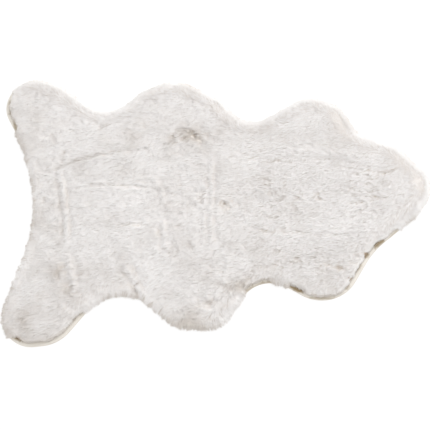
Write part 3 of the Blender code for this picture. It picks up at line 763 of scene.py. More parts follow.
def dimple_tree(dimples):
    """Points along the dimples for a search, with the dimple that each belongs to."""
    points = []
    owners = []
    for dimple in dimples:
        start, end = Vector(dimple[0:2]), Vector(dimple[2:4])
        steps = max(1, round((end - start).length / DIMPLE_STEP))
        for i in range(steps + 1):
            points.append(start.lerp(end, i / steps))
            owners.append(dimple)
    tree = kdtree.KDTree(len(points))
    for i, point in enumerate(points):
        tree.insert(point.to_3d(), i)
    tree.balance()
    return tree, owners


CREASE_TREES = crease_trees()
DIMPLE_TREE, DIMPLE_OWNERS = dimple_tree(all_dimples())


def crease_effect(point):
    """What the creases add to the height there, which way they part the pile, and how much it parts."""
    height = parted = 0.0
    way = Vector((0.0, 0.0))
    for crease, tree, ways in CREASE_TREES:
        near, index, distance = tree.find((point.x, point.y, 0.0))
        if distance > CREASE_REACH:
            continue
        along, share = ways[index]
        away = point - near.xy
        aside = along.x * away.y - along.y * away.x
        ends = smooth_step(0, CREASE_FADE, share) * smooth_step(0, CREASE_FADE, 1 - share)
        fade = ends * (1 - smooth_step(CREASE_END, 2 * CREASE_END, abs(along.dot(away))))
        across = (aside + CREASE_STRAY * waved(CROOKED_WAVE, near)) / crease.half_width
        uneven = CREASE_MEAN + CREASE_UNEVEN * waved(BROKEN_WAVE, point)
        fade *= min(max(uneven, CREASE_BROKEN[0]), CREASE_BROKEN[1])
        height -= fade * crease.depth * math.exp(-(across**2))
        for ridge, side in ((crease.left_ridge, 1), (crease.right_ridge, -1)):
            height += fade * ridge * math.exp(-(((across - side * RIDGE_AWAY) / RIDGE_WIDTH) ** 2))
        push = crease.parting * fade * math.exp(-((across / CREASE_PUSH) ** 2))
        parted += crease.parting * fade * math.exp(-((across / CREASE_SHADE) ** 2))
        way += Vector((-along.y, along.x)) * math.copysign(push, across)
    return height, way, parted


def dimple_effect(point):
    """The same as crease_effect for the dimples."""
    nearest = {}
    for spot, index, distance in DIMPLE_TREE.find_range((point.x, point.y, 0.0), DIMPLE_REACH):
        dimple = DIMPLE_OWNERS[index]
        if dimple not in nearest or distance < nearest[dimple][0]:
            nearest[dimple] = (distance, spot.xy)
    height = parted = 0.0
    way = Vector((0.0, 0.0))
    for dimple, (distance, spot) in nearest.items():
        share = math.exp(-((distance / dimple.half_width) ** 2))
        height -= dimple.depth * share
        parted += share * dimple.depth / DIMPLE_DEEP
        if distance > 1e-6:
            push = math.exp(-((distance / (DIMPLE_PUSH * dimple.half_width)) ** 2))
            way += (point - spot) / distance * push * PUSHED_ASIDE * dimple.depth / DIMPLE_DEEP
    return height, way, parted


def parting_at(point):
    """What creases and dimples add to the height, which way they part the pile, and how much it parts."""
    height, way, parted = crease_effect(point)
    more, aside, further = dimple_effect(point)
    return height + more, way + aside, min(parted + further, 1.0)


def lump_height(point):
    """What the lumps add to the height there."""
    rough = mix(SMOOTH_SHARE, 1.0, roughness_at(point)) * (1 - CALM_SHARE * calmness_at(point))
    height = 0.0
    for i, lump in enumerate(LUMPS):
        height += lump.height * rough * blotted(lump.length, lump.breadth, SEED + LUMP_LAYERS * i, point)
    return height


def pile_height(point):
    """The pile's height away from the edge."""
    return PILE_HIGH + lump_height(point) + parting_at(point)[0]


def coat_height(point, depth, reach):
    """The pile's surface: rounded off towards the fold, and down to the floor past it."""
    full = pile_height(point)
    if depth >= 0:
        return full * (1 - RIM_DROP * (1 - min(depth / CROWN_INSET, 1.0)) ** 2)
    past = min(-depth / max(reach, RIM_REACH), RIM_ROUNDED)
    return full * (1 - RIM_DROP) * math.sqrt(1 - past * past)


def underfur_height(point, depth):
    """The top of the underfur, down to the ground cloth beside the tape and in the bare spots."""
    risen = smooth_step(UNDERFUR_FOOT - UNDERFUR_START, UNDERFUR_FULL, depth)
    top = UNDERFUR_SHARE * coat_height(point, depth, 0.0)
    return mix(CLOTH_HIGH, top, risen * (1 - SPOT_DEEP * patchiness(point)))


class Shell:
    """Points and faces of a closed body, built as rings that run anticlockwise seen from above."""

    def __init__(self):
        self.points = []
        self.faces = []

    def ring(self, shares, inset, height):
        """A ring at an inset and a height, each a number or a function. Returns (share, index) pairs."""
        found = []
        for share in shares:
            inward = inset(share) if callable(inset) else inset
            point = EDGE.at(share, inward)[0]
            upward = height(point) if callable(height) else height
            found.append((share, len(self.points)))
            self.points.append(Vector((point.x, point.y, upward)))
        return found

    def band(self, ring, following):
        """Triangles from one ring to the next, outside it on the underside or inside it on top."""
        a = ring + [(ring[0][0] + 1.0, ring[0][1])]
        b = following + [(following[0][0] + 1.0, following[0][1])]
        i = j = 0
        while i < len(ring) or j < len(following):
            ahead = j == len(following) or (i < len(ring) and a[i + 1][0] <= b[j + 1][0])
            if ahead:
                self.faces.append((a[i][1], a[i + 1][1], b[j][1]))
                i += 1
            else:
                self.faces.append((a[i][1], b[j + 1][1], b[j][1]))
                j += 1

    def fill(self, ring, inner, height, faces_up):
        """Closes a ring with triangles through the inner points, each lifted to its height."""
        border = [self.points[index].xy for _, index in ring]
        flat = border + inner
        first = len(self.points)
        self.points.extend(Vector((p.x, p.y, height(p))) for p in inner)
        found = delaunay_2d_cdt(flat, [], [list(range(len(border)))], 1, MERGE)
        index_of = [index for _, index in ring] + list(range(first, first + len(inner)))
        for a, b, c in found[2]:
            a, b, c = (index_of[found[3][v][0]] for v in (a, b, c))
            self.faces.append((a, b, c) if faces_up else (a, c, b))


def new_object(name, points, faces=()):
    """An object in the scene with a mesh of these points and faces."""
    mesh = bpy.data.meshes.new(name)
    mesh.from_pydata([tuple(point) for point in points], [], faces)
    obj = bpy.data.objects.new(name, mesh)
    bpy.context.scene.collection.objects.link(obj)
    return obj


def give(mesh, name, kind, values):
    """Stores one value for each point of a mesh."""
    attribute = mesh.attributes.new(name, kind, "POINT")
    if kind == "FLOAT_VECTOR":
        attribute.data.foreach_set("vector", [x for value in values for x in value])
    else:
        attribute.data.foreach_set("value", values)


def grid_points(pitch, jitter, inset, seed):
    """Staggered rows of points over the rug, those that lie at least this far inside the edge."""
    chance = random.Random(seed)
    row_pitch = pitch * math.sqrt(3) / 2
    rows = int(HALF_BREADTH / row_pitch)
    columns = int(HALF_LENGTH / pitch)
    kept = []
    for row in range(-rows, rows + 1):
        for column in range(-columns, columns + 1):
            x = (column + 0.5 * (row % 2)) * pitch + chance.uniform(-jitter, jitter)
            y = row * row_pitch + chance.uniform(-jitter, jitter)
            point = Vector((x, y))
            if edge_near(point)[0] > inset:
                kept.append(point)
    return kept


class Value:
    """One socket of a node tree. Arithmetic on it adds the nodes for it and gives their result."""

    def __init__(self, graph, socket):
        self.graph = graph
        self.socket = socket

    def maths(self, operation, first, second=None):
        """The result of a Math node, or of a Vector Math node where a vector comes in."""
        values = (first, second)
        if any(isinstance(x, tuple) or (isinstance(x, Value) and x.socket.type == "VECTOR") for x in values):
            return self.graph.vector(operation, first, second)
        inputs = {i: value for i, value in enumerate(values) if value is not None}
        return self.graph.add("ShaderNodeMath", {"operation": operation}, inputs)

    def __add__(self, other):
        return self.maths("ADD", self, other)

    def __radd__(self, other):
        return self.maths("ADD", other, self)

    def __sub__(self, other):
        return self.maths("SUBTRACT", self, other)

    def __rsub__(self, other):
        return self.maths("SUBTRACT", other, self)

    def __mul__(self, other):
        return self.maths("MULTIPLY", self, other)

    def __rmul__(self, other):
        return self.maths("MULTIPLY", other, self)

    def __truediv__(self, other):
        return self.maths("DIVIDE", self, other)

    def __rtruediv__(self, other):
        return self.maths("DIVIDE", other, self)

    def __pow__(self, other):
        return self.maths("POWER", self, other)

    def sin(self):
        return self.maths("SINE", self)

    def absolute(self):
        return self.maths("ABSOLUTE", self)

    def scaled(self, by):
        """This vector times a number."""
        return self.graph.add("ShaderNodeVectorMath", {"operation": "SCALE"}, {"Vector": self, "Scale": by})


class Graph:
    """A node tree that is being built."""

    def __init__(self, tree):
        self.tree = tree

    @staticmethod
    def find(sockets, name):
        """A socket by its number, or the one in use by its name."""
        if isinstance(name, int):
            return sockets[name]
        return next(s for s in sockets if s.name == name and s.enabled and not s.is_unavailable)

    def add(self, kind, settings=None, inputs=None, output=0):
        """Adds a node: its settings first, then the values or links of its sockets. Gives one output."""
        node = self.tree.nodes.new(kind)
        for name, value in (settings or {}).items():
            if name == "stops":
                self.set_stops(node.color_ramp, value)
            else:
                setattr(node, name, value)
        for name, value in (inputs or {}).items():
            socket = self.find(node.inputs, name)
            if isinstance(value, Value):
                self.tree.links.new(value.socket, socket)
            else:
                socket.default_value = value
        return Value(self, self.find(node.outputs, output)) if len(node.outputs) else node

    @staticmethod
    def set_stops(ramp, stops):
        """Gives a ramp its stops, pairs of a place and a colour."""
        while len(ramp.elements) < len(stops):
            ramp.elements.new(1.0)
        for element, (position, colour) in zip(ramp.elements, stops):
            element.position = position
            element.color = colour

    def vector(self, operation, first, second=None):
        """The result of a Vector Math node."""
        inputs = {0: first} if second is None else {0: first, 1: second}
        return self.add("ShaderNodeVectorMath", {"operation": operation}, inputs)

    def parts(self, vector):
        """The X, Y and Z of a vector."""
        first = self.add("ShaderNodeSeparateXYZ", {}, {0: vector})
        return [Value(self, socket) for socket in first.socket.node.outputs]

    def joined(self, x, y, z):
        """A vector of three numbers."""
        return self.add("ShaderNodeCombineXYZ", {}, {0: x, 1: y, 2: z})

    def blended(self, kind, share, first, second):
        """Between two numbers, vectors or colours by a share."""
        inputs = {"Factor": share, "A": first, "B": second}
        return self.add("ShaderNodeMix", {"data_type": kind}, inputs, "Result")

    def between(self, low, high, seed, kind="FLOAT"):
        """A random number or vector for each element."""
        inputs = {"Min": low, "Max": high, "Seed": seed}
        return self.add("FunctionNodeRandomValue", {"data_type": kind}, inputs, "Value")

    def map_parts(self, name):
        """The U and V of one of the piece's maps."""
        return self.parts(self.add("ShaderNodeUVMap", {"uv_map": name}))[:2]

    def object_place(self):
        """The place on the piece, in metres."""
        return self.add("ShaderNodeTexCoord", {}, {}, "Object")

    def clouds(self, scale, detail):
        """Soft noise over the piece, between 0 and 1."""
        inputs = {"Vector": self.object_place(), "Scale": scale, "Detail": detail}
        return self.add("ShaderNodeTexNoise", {}, inputs, "Fac")

    def painted(self, name):
        """A number that the piece's mesh brings, for its material."""
        return self.add("ShaderNodeAttribute", {"attribute_name": name}, {}, "Fac")

    def stored(self, name, kind="FLOAT"):
        """A value that the mesh brings, for a Geometry Nodes tree."""
        return self.add("GeometryNodeInputNamedAttribute", {"data_type": kind}, {"Name": name}, "Attribute")

    def store(self, geometry, name, kind, value, domain="POINT"):
        """The geometry with a value stored on it."""
        return self.add(
            "GeometryNodeStoreNamedAttribute",
            {"data_type": kind, "domain": domain},
            {"Geometry": geometry, "Name": name, "Value": value},
        )


def nodes_tree(name, sockets):
    """A Geometry Nodes tree with its named inputs. Returns the graph and the inputs by name."""
    tree = bpy.data.node_groups.new(name, "GeometryNodeTree")
    for title, kind in sockets:
        tree.interface.new_socket(title, in_out="INPUT", socket_type="NodeSocket" + kind)
    tree.interface.new_socket("Geometry", in_out="OUTPUT", socket_type="NodeSocketGeometry")
    graph = Graph(tree)
    entry = tree.nodes.new("NodeGroupInput")
    return graph, {title: Value(graph, entry.outputs[title]) for title, _ in sockets}


def end_tree(graph, geometry):
    """Ends a tree in its result."""
    leave = graph.tree.nodes.new("NodeGroupOutput")
    graph.tree.links.new(geometry.socket, leave.inputs[0])
    return graph.tree


def run_tree(obj, tree, settings):
    """Gives the object's mesh the tree's result as a plain mesh."""
    modifier = obj.modifiers.new("make", "NODES")
    modifier.node_group = tree
    for item in tree.interface.items_tree:
        if item.in_out == "INPUT" and item.name in settings:
            modifier[item.identifier] = settings[item.name]
    obj.update_tag()
    depsgraph = bpy.context.evaluated_depsgraph_get()
    made = bpy.data.meshes.new_from_object(
        obj.evaluated_get(depsgraph), preserve_all_data_layers=True, depsgraph=depsgraph
    )
    old = obj.data
    obj.modifiers.remove(modifier)
    obj.data = made
    bpy.data.meshes.remove(old)
    made.name = obj.name
    if not made.polygons:
        raise RuntimeError(f"{obj.name} came out empty")


def seated(obj):
    """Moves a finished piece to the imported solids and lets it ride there."""
    obj.data.transform(Matrix.Translation(SEAT))
    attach(obj, "root")
    return obj


# Sizes and colours that a user would change.


def length_property(name, description, default, least):
    """A property for a length."""
    return bpy.props.FloatProperty(
        name=name, description=description, default=default, min=least, unit="LENGTH", precision=5
    )


def colour_property(name, description, default):
    """A property for a colour."""
    return bpy.props.FloatVectorProperty(
        name=name, description=description, default=default, subtype="COLOR", size=3, min=0.0, max=1.0
    )


class PileSettings(bpy.types.PropertyGroup):
    """Sizes and colours of the pile"""

    spacing: length_property("Strand Spacing", "Least distance between two roots", 0.00132, 0.0005)
    rim_spacing: length_property("Edge Spacing", "The same for the tufts over the edge", 0.00092, 0.0005)
    width: length_property("Strand Width", "Width of a strand where it is widest", 0.0012, 0.0002)
    lay: length_property("Lay", "How far from its root a strand's tip lies", 0.0175, 0.002)
    tuft_pitch: length_property("Tuft Pitch", "Distance between the tufts of the pile", 0.0115, 0.004)
    scatter: length_property("Scatter", "How far a strand's tip strays by itself", 0.0018, 0.0)
    ruffle: length_property("Ruffle", "How far neighbouring strands wave together", 0.0022, 0.0)
    seed: bpy.props.IntProperty(name="Seed", description="Fixes what is random in the pile", default=5)
    tip_colour: colour_property("Tip Colour", "Ivory of the pile's tips", (0.940, 0.926, 0.916))
    root_colour: colour_property("Root Colour", "Tan of the roots and the underfur", (0.80, 0.74, 0.68))


class BindingSettings(bpy.types.PropertyGroup):
    """Sizes and colours of the binding and its seam"""

    colour: colour_property("Tape Colour", "Cream of the binding", (0.80, 0.77, 0.715))
    thread_colour: colour_property("Thread Colour", "Colour of the seam's thread", (0.88, 0.84, 0.76))
    stitches: bpy.props.IntProperty(
        name="Stitches", description="Stitches of the seam, round the whole edge", default=800, min=100
    )
    stitch_length: length_property("Stitch Length", "Length of one stitch on the tape", 0.0026, 0.0005)
    thread: length_property("Thread", "Width of the thread", 0.00045, 0.0001)
    twill: length_property("Twill Pitch", "Distance between the tape's slanting ribs", 0.0012, 0.0003)


class StageSettings(bpy.types.PropertyGroup):
    """The light and the floor"""

    key: bpy.props.FloatProperty(
        name="Key Light", description="Power of the soft light behind the rug", subtype="POWER",
        default=20.0, min=0.0,
    )
    sky: bpy.props.FloatProperty(
        name="Sky", description="Strength of the even light from all round", default=1.05, min=0.0
    )
    floor_glow: bpy.props.FloatProperty(
        name="Floor Glow", description="Light that the floor gives off to stay white", default=0.72, min=0.0
    )


# Materials.


# Tones of the tips from the darkest to the lightest strand, as shares of the tips' own colour.
TIP_TONES = (
    (0.00, (0.76, 0.725, 0.685)),
    (0.25, (0.89, 0.875, 0.86)),
    (0.50, (0.965, 0.96, 0.955)),
    (0.75, (1.0, 1.0, 1.0)),
    (1.00, (1.03, 1.03, 1.03)),
)
ROOT_TONED = (0.05, 0.62)  # from the root's colour to the tip's, in shares of a strand's length
UNDERFUR_TOP = (0.90, 0.88, 0.86)  # shares of the tips' colour, a little darker as painted shade for the dense fur's own shadow
UNDERFUR_PAINTED_SHADE = (0.80, 0.72, 0.62)  # shares of the roots' colour: painted shade in the partings and beside the tape
# Painted shadow: the dark brown of the ground cloth in the bare spots beside the binding.
BARE_PAINTED_SHADOW = (0.46, 0.37, 0.28)
WALE = 0.0019
COURSE = 0.0013
KNIT_DARK = (0.70, 0.66, 0.60, 1.0)
KNIT_LIGHT = (0.84, 0.81, 0.76, 1.0)
TAPE_DARK = (0.92, 0.89, 0.85)  # shares of the tape's colour
TAPE_LIGHT = (1.05, 1.05, 1.05)
# Painted shade: the brown that the tape is darkened to along its inner edge, at the fold, beside the bare
# spots and under the pile.
TAPE_PAINTED_SHADE = (0.38, 0.29, 0.17)
YARN_SHARE = 0.45  # of the twill's pitch
THREAD_TWIST = 0.0007
THREAD_DARK = (0.88, 0.88, 0.88)  # share of the thread's colour


def shader_graph(name, roughness):
    """A material with its graph and its one shader."""
    material = bpy.data.materials.new(name)
    material.use_nodes = True
    shader = material.node_tree.nodes["Principled BSDF"]
    shader.inputs["Roughness"].default_value = roughness
    return material, Graph(material.node_tree), shader


def finish(graph, shader, colour, height=None, strength=0.0, distance=0.0):
    """Links the colour that varies over a piece, and a height that raises its surface a little."""
    graph.tree.links.new(colour.socket, shader.inputs["Base Color"])
    if height:
        inputs = {"Strength": strength, "Distance": distance, "Height": height}
        bump = graph.add("ShaderNodeBump", {}, inputs)
        graph.tree.links.new(bump.socket, shader.inputs["Normal"])


def with_alpha(colour, by=(1.0, 1.0, 1.0)):
    """A colour times a share for each channel, as Blender's nodes take it."""
    return (*(min(c * b, 1.0) for c, b in zip(colour, by)), 1.0)


def fur_material(pile):
    """Ivory pile. Its map's U goes through the tones, and V goes along a strand from root to tip."""
    material, graph, shader = shader_graph("ivory_pile", 0.8)
    u, v = graph.map_parts(MAP_NAME)
    stops = [(at, with_alpha(pile.tip_colour, by)) for at, by in TIP_TONES]
    tip_tone = graph.add("ShaderNodeValToRGB", {"stops": stops}, {0: u})
    risen = graph.add(
        "ShaderNodeMapRange",
        {"interpolation_type": "SMOOTHSTEP"},
        {"Value": v, "From Min": ROOT_TONED[0], "From Max": ROOT_TONED[1]},
    )
    finish(graph, shader, graph.blended("RGBA", risen, with_alpha(pile.root_colour), tip_tone))
    shader.inputs["Sheen Weight"].default_value = 0.15
    return material


def underfur_material(pile):
    """Dense underfur: ivory on top, a little darker with painted shade; tan where the pile parts, deepened
    with painted shade there and beside the tape; and painted dark brown shadow at the ground cloth.
    """
    material, graph, shader = shader_graph("ivory_underfur", 0.95)
    stops = (
        (0.0, with_alpha(pile.tip_colour, UNDERFUR_TOP)),
        (0.35, with_alpha(pile.root_colour)),
        (0.65, with_alpha(pile.root_colour, UNDERFUR_PAINTED_SHADE)),
        (1.0, with_alpha(pile.root_colour, BARE_PAINTED_SHADOW)),
    )
    share = graph.painted("shade") + (graph.clouds(60.0, 3.0) - 0.5) * 0.2
    colour = graph.add("ShaderNodeValToRGB", {"stops": stops}, {0: share})
    finish(graph, shader, colour, graph.clouds(900.0, 4.0), strength=0.6, distance=0.0008)
    return material


def backing_material():
    """The knitted underside of the ground cloth: fine courses across and wales along."""
    material, graph, shader = shader_graph("knitted_backing", 0.9)
    x, y, _ = graph.parts(graph.object_place())
    wales = (x * (math.tau / WALE)).sin()
    courses = (y * (math.tau / COURSE) + wales * 0.9).sin()
    knit = wales.absolute() * 0.6 + courses * 0.4
    share = graph.clouds(22.0, 4.0) * 0.7 + knit * 0.3
    colour = graph.blended("RGBA", share, KNIT_DARK, KNIT_LIGHT)
    finish(graph, shader, colour, knit, strength=0.7, distance=0.0004)
    return material


def tape_material(binding):
    """Cream cotton tape: slanting twill ribs, a little worn, and darkened to brown with painted shade towards
    its inner edge, at the fold and under the pile.
    """
    material, graph, shader = shader_graph("cream_twill_tape", 0.75)
    u, v = graph.map_parts("tape")
    ribs = ((u + v) * (math.tau / binding.twill)).sin()
    yarns = ((u - v * 3.0) * (math.tau / (binding.twill * YARN_SHARE))).sin()
    weave = ribs * 0.7 + yarns * 0.3
    share = graph.clouds(45.0, 4.0) * 0.75 + weave * 0.12 + 0.12
    dark, light, shaded_brown = (with_alpha(binding.colour, by) for by in (TAPE_DARK, TAPE_LIGHT, TAPE_PAINTED_SHADE))
    unshaded = graph.blended("RGBA", share, dark, light)
    # Painted shade darkens the tape to brown by the amount that its mesh brings.
    colour = graph.blended("RGBA", graph.painted("browned"), unshaded, shaded_brown)
    finish(graph, shader, colour, weave, strength=0.5, distance=0.00025)
    return material


def thread_material(binding):
    """Twisted sewing thread."""
    material, graph, shader = shader_graph("sewing_thread", 0.55)
    x, y, _ = graph.parts(graph.object_place())
    twist = ((x + y) * (math.tau / THREAD_TWIST)).sin()
    dark, light = with_alpha(binding.thread_colour, THREAD_DARK), with_alpha(binding.thread_colour)
    finish(graph, shader, graph.blended("RGBA", twist * 0.5 + 0.5, dark, light))
    return material


def floor_material(stage):
    """Plain white floor that gives off a little light of its own."""
    material, _, shader = shader_graph("white_floor", 0.9)
    shader.inputs["Base Color"].default_value = FLOOR_GREY
    shader.inputs["Emission Color"].default_value = WHITE
    shader.inputs["Emission Strength"].default_value = stage.floor_glow
    return material


# The ground cloth, its underfur and the skin that the pile is rooted in.


def beside_tape(share):
    """The inset at which the ground cloth leaves the tape."""
    return tape_width(share) + STEP_GAP


def inside_tape(share):
    """The inset at which the ground cloth lies on the floor."""
    return tape_width(share) + CLOTH_DROP


@functools.cache
def ground_shell():
    """The closed ground cloth with its underfur, and the number of its first upper face."""
    shell = Shell()
    floor_shares = even_shares(FLOOR_STATIONS)
    last = shell.ring(floor_shares, FLOOR_INSET, 0.0)
    grid = grid_points(FLOOR_GRID, 0.0, FLOOR_INSET + FLOOR_GRID / 4, SEED)
    shell.fill(last, grid, lambda point: 0.0, faces_up=False)
    shares = even_shares(RING_STATIONS)
    section = (
        (inside_tape, 0.0),
        (beside_tape, CLOTH_LOW),
        (TAPE_THICK + GAP, CLOTH_LOW),
        (TAPE_THICK + GAP, CLOTH_HIGH),
        (beside_tape, CLOTH_HIGH),
    )
    for inset, height in section:
        ring = shell.ring(shares, inset, height)
        shell.band(last, ring)
        last = ring
    first_upper = len(shell.faces)
    for further in UNDERFUR_RINGS:
        depth = UNDERFUR_FOOT + further
        ring = shell.ring(shares, depth, lambda point: underfur_height(point, depth))
        shell.band(last, ring)
        last = ring
    grid = grid_points(SKIN_GRID, SKIN_JITTER, depth + SKIN_MARGIN, SEED + 1)
    shell.fill(last, grid, lambda point: underfur_height(point, edge_near(point)[0]), faces_up=True)
    return shell, first_upper


def shade_at(point):
    """How deep the underfur's colour is there: 0 on top, 1 at the bare ground cloth. Past the roots' tan it
    is painted shade in the partings and painted shadow beside the tape and in the bare spots.
    """
    depth, edge_point, _ = edge_near(point)
    parted = parting_at(point)[2]
    bare = bareness(edge_point)
    low = 1 - smooth_step(mix(*SHADE_FROM, bare), mix(*SHADE_TO, bare), depth - UNDERFUR_FOOT)
    return max(SHADE_PARTED * parted, low * mix(*SHADE_FOOT, bare), patchiness(point))


def lie_at(point, depth, normal, bare, parting):
    """The way in which the pile lies at a point, and how near that is to a crown that it lies away from."""
    swirl = mix(SWIRL_SMOOTH, SWIRL_ROUGH, roughness_at(point))
    swirl *= blotted(SWIRL_SIZE, SWIRL_SIZE, SWIRL_LAYER, point)
    out = (1 - smooth_step(RIM_OUT, RIM_TURN, depth)) * (1 - BARE_TURN * bare)
    turn = NAP.angle_signed(normal)
    crown = 4 * out * (1 - out) * smooth_step(CROWN_FROM, math.pi, abs(turn))
    way = turned(NAP, swirl - out * turn) + parting
    return way.normalized() if way.length > 1e-3 else normal, crown


def fall_at(point, height, lay):
    """From a root to the place where its strand's tip would lie, with the bareness and the parting."""
    depth, edge_point, normal = edge_near(point)
    bare = bareness(edge_point)
    _, parting, parted = parting_at(point)
    way, crown = lie_at(point, depth, normal, bare, parting)
    lay *= 1 - CROWN_SHARE * crown
    lay *= 1 - UPRIGHT_SHARE * smooth_step(*UPRIGHT_FROM, point.x) * (1 - UPRIGHT_CALM * calmness_at(point))
    reach = COAT_REACH * tuft_reach(edge_point) + JAG_REACH * waved(JAG_WAVE, point)
    outward = way.dot(normal)
    if outward > OUTWARD_FROM:
        most = depth + mix(reach, -TAPE_WIDTH, bare)
        lay = min(lay, max(most / outward, SHORTEST_LAY))
    lay *= 1 - PATCH_STOP * max(patchiness(point + way * lay), patchiness(point + way * lay / 2))
    tip = point + way * lay
    top = coat_height(tip, depth - outward * lay, reach)
    return Vector((*(way * lay), top - height)), bare, parted


def tuftedness(normal):
    """1 on the edges that the nap runs out over, 0 on the others."""
    return smooth_step(*TUFTED_FROM, normal.dot(TUFTED_TOWARDS))


def tone_at(point, parted):
    """The coat's tone: faint patches, wider areas of painted light and shade, painted shade at the edges that
    the nap runs out over, and painted shade in tan where it parts.
    """
    # Painted shade where the pile parts.
    tone = TONE_PLAIN - PARTED_PAINTED_SHADE * min(parted, 1.0)
    depth, _, normal = edge_near(point)
    # Painted shade: the coat is darker near the edges that the nap runs out over.
    tone -= EDGE_PAINTED_SHADE * tuftedness(normal) * (1 - smooth_step(0.0, EDGE_PAINTED_SHADE_WIDE, depth))
    for size, amount in PATCH_BANDS:
        tone += amount * blotted(size, size, PATCH_LAYER, point)
    # Painted light and shade over wider areas.
    for area in PAINTED_LIGHT_AREAS:
        tone += area.amount * within(area, point)
    return tone


# What the mesh that the pile is rooted in brings for it, at each of its points.
FIELDS = (
    ("pile_fall", "FLOAT_VECTOR"),
    ("pile_arch", "FLOAT"),
    ("pile_pull", "FLOAT"),
    ("pile_tone", "FLOAT"),
    ("pile_cover", "FLOAT"),
)


def as_fields(rows):
    """The fields by name and kind, from a row of their values for each point."""
    return [(name, kind, values) for (name, kind), values in zip(FIELDS, zip(*rows))]


def grown(point):
    """1 where strands are rooted, 0 in the bare spots."""
    return 1 - smooth_step(*SPOT_COVER, patchiness(point))


def skin_row(point, lay):
    """The coat's fall, arch, pull, tone and cover at a point of the skin."""
    flat = point.xy
    depth = edge_near(flat)[0]
    fall, bare, parted = fall_at(flat, point.z, lay)
    arch = max(COAT_ARCH * (coat_height(flat, depth, 0.0) - point.z), COAT_ARCH_LEAST)
    pull = mix(PULL_SMOOTH, PULL_ROUGH, roughness_at(flat))
    inside = smooth_step(RIM_OUTER_BARE - RIM_MEETS, RIM_OUTER_BARE + RIM_MEETS, depth)
    cover = grown(flat) * (inside if bare > SHORT_FROM else 1.0) * (1 - COVER_PARTED * min(parted, 1.0))
    return fall, arch, pull, tone_at(flat, parted), cover


def rim_row(point):
    """The same for the pile that hangs over the edge."""
    flat = point.xy
    depth, edge_point, normal = edge_near(flat)
    bare = bareness(edge_point)
    tufted = tuftedness(normal)
    upper = smooth_step(UNDERFUR_FOOT, RIM_INNER, depth)
    lean = RIM_LEAN * waved(LEAN_WAVE, flat) + RIM_FINE_LEAN * waved(FINE_LEAN_WAVE, flat)
    jag = waved(RIM_JAG_WAVE, edge_point)
    further = mix(*RIM_PAST, tufted) + mix(*RIM_JAGS, tufted) * jag * mix(1.0, RIM_JAGS_UPPER, upper)
    back = RIM_SHORT * TAPE_WIDTH * (1 + RIM_BACK_UNEVEN * jag)
    way = (normal + Vector((-normal.y, normal.x)) * lean) * (depth + mix(further, back, bare))
    way *= 1 - PATCH_STOP * max(patchiness(flat + way), patchiness(flat + way * RIM_PROBE))
    fall = Vector((*way, mix(*RIM_TIP_HIGH, bare) - point.z))
    arch = mix(RIM_ARCH, RIM_ARCH_LOW, max(bare, RIM_ARCH_TUFTED * tufted)) * (1 - RIM_ARCH_UPPER * upper)
    pull = mix(mix(*RIM_PULL, tufted), RIM_PULL_BARE, bare)
    # Painted shade: the strands over the edge are painted darker, most from the outer roots.
    painted_shade = mix(mix(*RIM_PAINTED_SHADE_START, upper), mix(*RIM_PAINTED_SHADE_END, upper), max(tufted, bare))
    return fall, arch, pull, tone_at(flat, 0.0) - painted_shade, grown(flat)


def part_of(name, points, faces, fields):
    """An object of some of the faces, with the fields of their points."""
    used = sorted({index for face in faces for index in face})
    place = {old: new for new, old in enumerate(used)}
    obj = new_object(name, [points[i] for i in used], [tuple(place[i] for i in face) for face in faces])
    for title, kind, values in fields:
        give(obj.data, title, kind, [values[i] for i in used])
    return obj


# The pile.


# Across a strand where it is widest, its three corners, in its own widths.
STRAND_CORNERS = ((0.5, 0.22), (-0.5, 0.22), (0.0, -0.45))


def strand_object(widest):
    """A closed wisp: X and Y lie across it, and Z runs from its root to its tip, with the widest share."""
    points = [(0.0, 0.0, 0.0), *((x, y, widest) for x, y in STRAND_CORNERS), (0.0, 0.0, 1.0)]
    sides = (1.0, 0.0, 2.0, 1.0, 1.0)
    faces = []
    for a, b in ((1, 2), (2, 3), (3, 1)):
        faces.append((0, b, a))
        faces.append((a, b, 4))
    obj = new_object("strand", points, faces)
    give(obj.data, "strand_section", "FLOAT_VECTOR", points)
    give(obj.data, "strand_side", "FLOAT", sides)
    return obj


